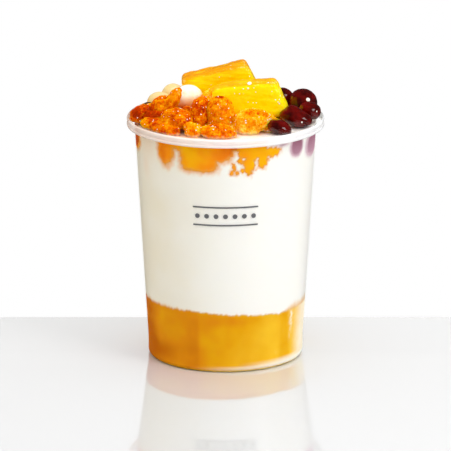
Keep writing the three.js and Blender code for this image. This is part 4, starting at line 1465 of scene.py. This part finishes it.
def ornament_tree():
    """A row of dots between two lines, laid flat and then bent round the cup's wall."""
    tree, given = geometry_tree("Printed ornament", {
        "Dot": ("NodeSocketFloat", 2 * MM),
        "Dot Count": ("NodeSocketInt", 7),
        "Dot Pitch": ("NodeSocketFloat", 4 * MM),
        "Line Long": ("NodeSocketFloat", 30 * MM),
        "Material": ("NodeSocketMaterial", None),
    })
    gaps = add(tree, "ShaderNodeMath", {0: given["Dot Count"], 1: 1.0}, operation="SUBTRACT").outputs[0]
    span = add(tree, "ShaderNodeMath", {0: gaps, 1: given["Dot Pitch"]}, operation="MULTIPLY").outputs[0]
    first = add(tree, "ShaderNodeMath", {0: span, 1: -0.5}, operation="MULTIPLY").outputs[0]
    start = add(tree, "ShaderNodeCombineXYZ", {"X": first}).outputs[0]
    step = add(tree, "ShaderNodeCombineXYZ", {"X": given["Dot Pitch"]}).outputs[0]
    row = add(tree, "GeometryNodeMeshLine",
              {"Count": given["Dot Count"], "Start Location": start, "Offset": step})
    radius = add(tree, "ShaderNodeMath", {0: given["Dot"], 1: 0.5}, operation="MULTIPLY").outputs[0]
    disc = add(tree, "GeometryNodeMeshCircle", {"Vertices": 28, "Radius": radius},
               fill_type="TRIANGLE_FAN")
    dots = add(tree, "GeometryNodeInstanceOnPoints",
               {"Points": row.outputs[0], "Instance": disc.outputs[0]})
    strip = add(tree, "GeometryNodeMeshGrid", {"Size X": given["Line Long"], "Size Y": LINE_WIDE,
                                               "Vertices X": 40, "Vertices Y": 2})
    lines = [
        add(tree, "GeometryNodeTransform", {"Geometry": strip.outputs["Mesh"],
                                            "Translation": (0, side * ORNAMENT_LINES, 0)}).outputs[0]
        for side in (-1, 1)
    ]
    joined = add(tree, "GeometryNodeJoinGeometry")
    for part in (dots.outputs[0], *lines):
        tree.links.new(part, joined.inputs[0])
    flat = add(tree, "GeometryNodeRealizeInstances", {"Geometry": joined.outputs[0]}).outputs[0]
    block = add(tree, "GeometryNodeExtrudeMesh", {"Mesh": flat, "Offset Scale": INK_THICK,
                                                  "Individual": False}).outputs["Mesh"]
    place = add(tree, "GeometryNodeInputPosition").outputs[0]
    spot = add(tree, "ShaderNodeSeparateXYZ", {0: place}).outputs
    up = add(tree, "ShaderNodeMath", {0: spot["Y"], 1: ORNAMENT_HEIGHT}, operation="ADD").outputs[0]
    wall = add(tree, "ShaderNodeMath", {0: up, 1: WALL_SLOPE, 2: BASE_RADIUS}, operation="MULTIPLY_ADD")
    far = add(tree, "ShaderNodeMath", {0: wall.outputs[0], 1: spot["Z"]}, operation="ADD").outputs[0]
    turn = add(tree, "ShaderNodeMath", {0: spot["X"], 1: outer_radius(ORNAMENT_HEIGHT)}, operation="DIVIDE")
    sine = add(tree, "ShaderNodeMath", {0: turn.outputs[0]}, operation="SINE").outputs[0]
    cosine = add(tree, "ShaderNodeMath", {0: turn.outputs[0]}, operation="COSINE").outputs[0]
    x = add(tree, "ShaderNodeMath", {0: far, 1: sine}, operation="MULTIPLY").outputs[0]
    depth = add(tree, "ShaderNodeMath", {0: far, 1: cosine}, operation="MULTIPLY").outputs[0]
    y = add(tree, "ShaderNodeMath", {0: depth, 1: -1.0}, operation="MULTIPLY").outputs[0]
    bent = add(tree, "ShaderNodeCombineXYZ", {"X": x, "Y": y, "Z": up}).outputs[0]
    moved = add(tree, "GeometryNodeSetPosition", {"Geometry": block, "Position": bent})
    return end_tree(tree, moved.outputs[0], given["Material"])


class DESSERT_OT_ornament(bpy.types.Operator):
    """Print a plain ornament on the cup: a row of dots between two lines"""

    bl_idname = "dessert.ornament"
    bl_label = "Print the ornament"

    def execute(self, context):
        cup = context.scene.dessert_cup
        obj = new_object("printed_ornament", bpy.data.meshes.new("printed_ornament"))
        grow(obj, ornament_tree(), dot=cup.dot, dot_count=cup.dot_count, dot_pitch=cup.dot_pitch,
             line_long=cup.line_long, material=ink_material(cup))
        settle(obj)
        dress(obj)
        return {"FINISHED"}


# ---- The stage ----


class DESSERT_OT_stage(bpy.types.Operator):
    """Set up the table, the light and the camera"""

    bl_idname = "dessert.stage"
    bl_label = "Set the stage"

    def execute(self, context):
        stage = context.scene.dessert_stage
        table = self.table(stage)
        self.room(context.scene, stage)
        self.backdrop(table)
        self.lamp(stage, "key_light", azimuth=47, elevation=33, size=(0.36, 0.3), power=stage.key_power)
        top = self.lamp(stage, "top_light", azimuth=20, elevation=78, size=(1.2, 1.2), power=stage.top_power)
        top.visible_glossy = False
        self.camera(context.scene, stage)
        context.scene.view_settings.view_transform = "Standard"
        return {"FINISHED"}

    def table(self, stage):
        """A pale lacquered table top, polished until it mirrors the cup at this low angle, which takes a
        higher index than lacquer's 1.5. In front of the cup the polish dips away from it a little, which
        makes the mirrored cup shorter."""
        wide, deep, thick = 4.0, 3.0, 8 * MM
        shape = bmesh.new()
        bmesh.ops.create_cube(shape, size=1, matrix=Matrix.LocRotScale(
            Vector((0, stage.table_edge - deep / 2, -thick / 2)), None, Vector((wide, deep, thick))))
        table = object_from("table", shape)
        material, tree, shader = principled("polished table", {"Base Color": stage.table}, roughness=0.06,
                                            IOR=4.0)
        place = add(tree, "ShaderNodeTexCoord").outputs["Object"]
        depth = add(tree, "ShaderNodeSeparateXYZ", {0: place}).outputs["Y"]
        lean = add(tree, "ShaderNodeMapRange", {"Value": depth, "From Min": -20 * MM, "From Max": 0.0,
                                                "To Min": -math.tan(stage.polish_dip), "To Max": 0.0})
        tipped = add(tree, "ShaderNodeCombineXYZ", {"Y": lean.outputs[0], "Z": 1.0}).outputs[0]
        normal = add(tree, "ShaderNodeVectorMath", {0: tipped}, operation="NORMALIZE").outputs[0]
        tree.links.new(normal, shader.inputs["Normal"])
        table.data.materials.append(material)
        return table

    def backdrop(self, table):
        """The white wall behind the table, which only the table mirrors."""
        light = bpy.data.lights.new("backdrop", "AREA")
        light.shape, light.size, light.size_y = "RECTANGLE", 4.0, 2.0
        light.energy = math.pi * light.size * light.size_y
        obj = new_object("backdrop", light)
        obj.location = (0, 1.6, 0.9)
        obj.rotation_euler = (math.radians(-90), 0, 0)
        obj.visible_camera = obj.visible_diffuse = False
        only = bpy.data.collections.new("what the backdrop lights")
        only.objects.link(table)
        obj.light_linking.receiver_collection = only

    def room(self, scene, stage):
        """White to the camera, a little brighter on the left to what it lights, and nearly dark in what
        mirrors it."""
        world = bpy.data.worlds.new("studio")
        scene.world = world
        world.use_nodes = True
        tree = world.node_tree
        tree.nodes.clear()
        way = add(tree, "ShaderNodeTexCoord").outputs["Generated"]
        across = add(tree, "ShaderNodeSeparateXYZ", {0: way}).outputs["X"]
        light = add(tree, "ShaderNodeMapRange", {
            "Value": across, "From Min": -0.8, "From Max": 0.8, "To Min": stage.room_left,
            "To Max": stage.room_right,
        }).outputs[0]
        path = add(tree, "ShaderNodeLightPath").outputs
        lit = add(tree, "ShaderNodeMix", {0: path["Is Glossy Ray"], 2: light, 3: stage.mirrored})
        shown = add(tree, "ShaderNodeMix", {0: path["Is Camera Ray"], 2: lit.outputs[0], 3: 1.0})
        back = add(tree, "ShaderNodeBackground", {"Color": (1, 1, 1, 1), "Strength": shown.outputs[0]})
        add(tree, "ShaderNodeOutputWorld", {"Surface": back.outputs[0]})

    def lamp(self, stage, name, azimuth, elevation, size, power):
        """An area light a metre away that looks at the cup. Its angles are in degrees."""
        light = bpy.data.lights.new(name, "AREA")
        light.shape, light.size, light.size_y, light.energy = "RECTANGLE", *size, power
        obj = new_object(name, light)
        self.look_at_cup(obj, way_to(math.radians(azimuth), math.radians(elevation)), 1.0, stage)
        return obj

    def camera(self, scene, stage):
        """The camera, at the photograph's angle."""
        data = bpy.data.cameras.new("camera")
        data.lens, data.sensor_width = stage.lens, 36
        data.clip_start, data.clip_end = 0.1, 20
        scene.camera = new_object("camera", data)
        self.look_at_cup(scene.camera, way_to(0, stage.elevation), stage.distance, stage)

    def look_at_cup(self, obj, way, distance, stage):
        obj.location = Vector((0, 0, stage.aim)) + distance * way
        obj.rotation_euler = (-way).to_track_quat("-Z", "Y").to_euler()


# ---- The sidebar and the run ----

GROUPS = {
    "dessert_cup": CupSettings,
    "dessert_filling": FillingSettings,
    "dessert_toppings": ToppingSettings,
    "dessert_stage": StageSettings,
}
OPERATORS = (
    DESSERT_OT_cup, DESSERT_OT_jelly, DESSERT_OT_gum, DESSERT_OT_wall_gum, DESSERT_OT_mango,
    DESSERT_OT_rice, DESSERT_OT_pearls, DESSERT_OT_milk, DESSERT_OT_glints, DESSERT_OT_ornament,
    DESSERT_OT_stage,
)


class DESSERT_PT_sidebar(bpy.types.Panel):
    """The steps and their settings"""

    bl_label = "Dessert"
    bl_space_type = "VIEW_3D"
    bl_region_type = "UI"
    bl_category = "Dessert"

    def draw(self, context):
        for step in OPERATORS:
            self.layout.operator(step.bl_idname)
        for name in GROUPS:
            settings = getattr(context.scene, name)
            box = self.layout.box()
            for key in settings.__annotations__:
                box.prop(settings, key)


def register():
    for kind in (*GROUPS.values(), *OPERATORS, DESSERT_PT_sidebar):
        bpy.utils.register_class(kind)
    for name, kind in GROUPS.items():
        setattr(bpy.types.Scene, name, PointerProperty(type=kind))


def unregister():
    for name in GROUPS:
        delattr(bpy.types.Scene, name)
    for kind in (DESSERT_PT_sidebar, *reversed(OPERATORS), *GROUPS.values()):
        bpy.utils.unregister_class(kind)


def main():
    register()
    for step in OPERATORS:
        group, name = step.bl_idname.split(".")
        getattr(getattr(bpy.ops, group), name)()


if __name__ == "__main__":
    main()
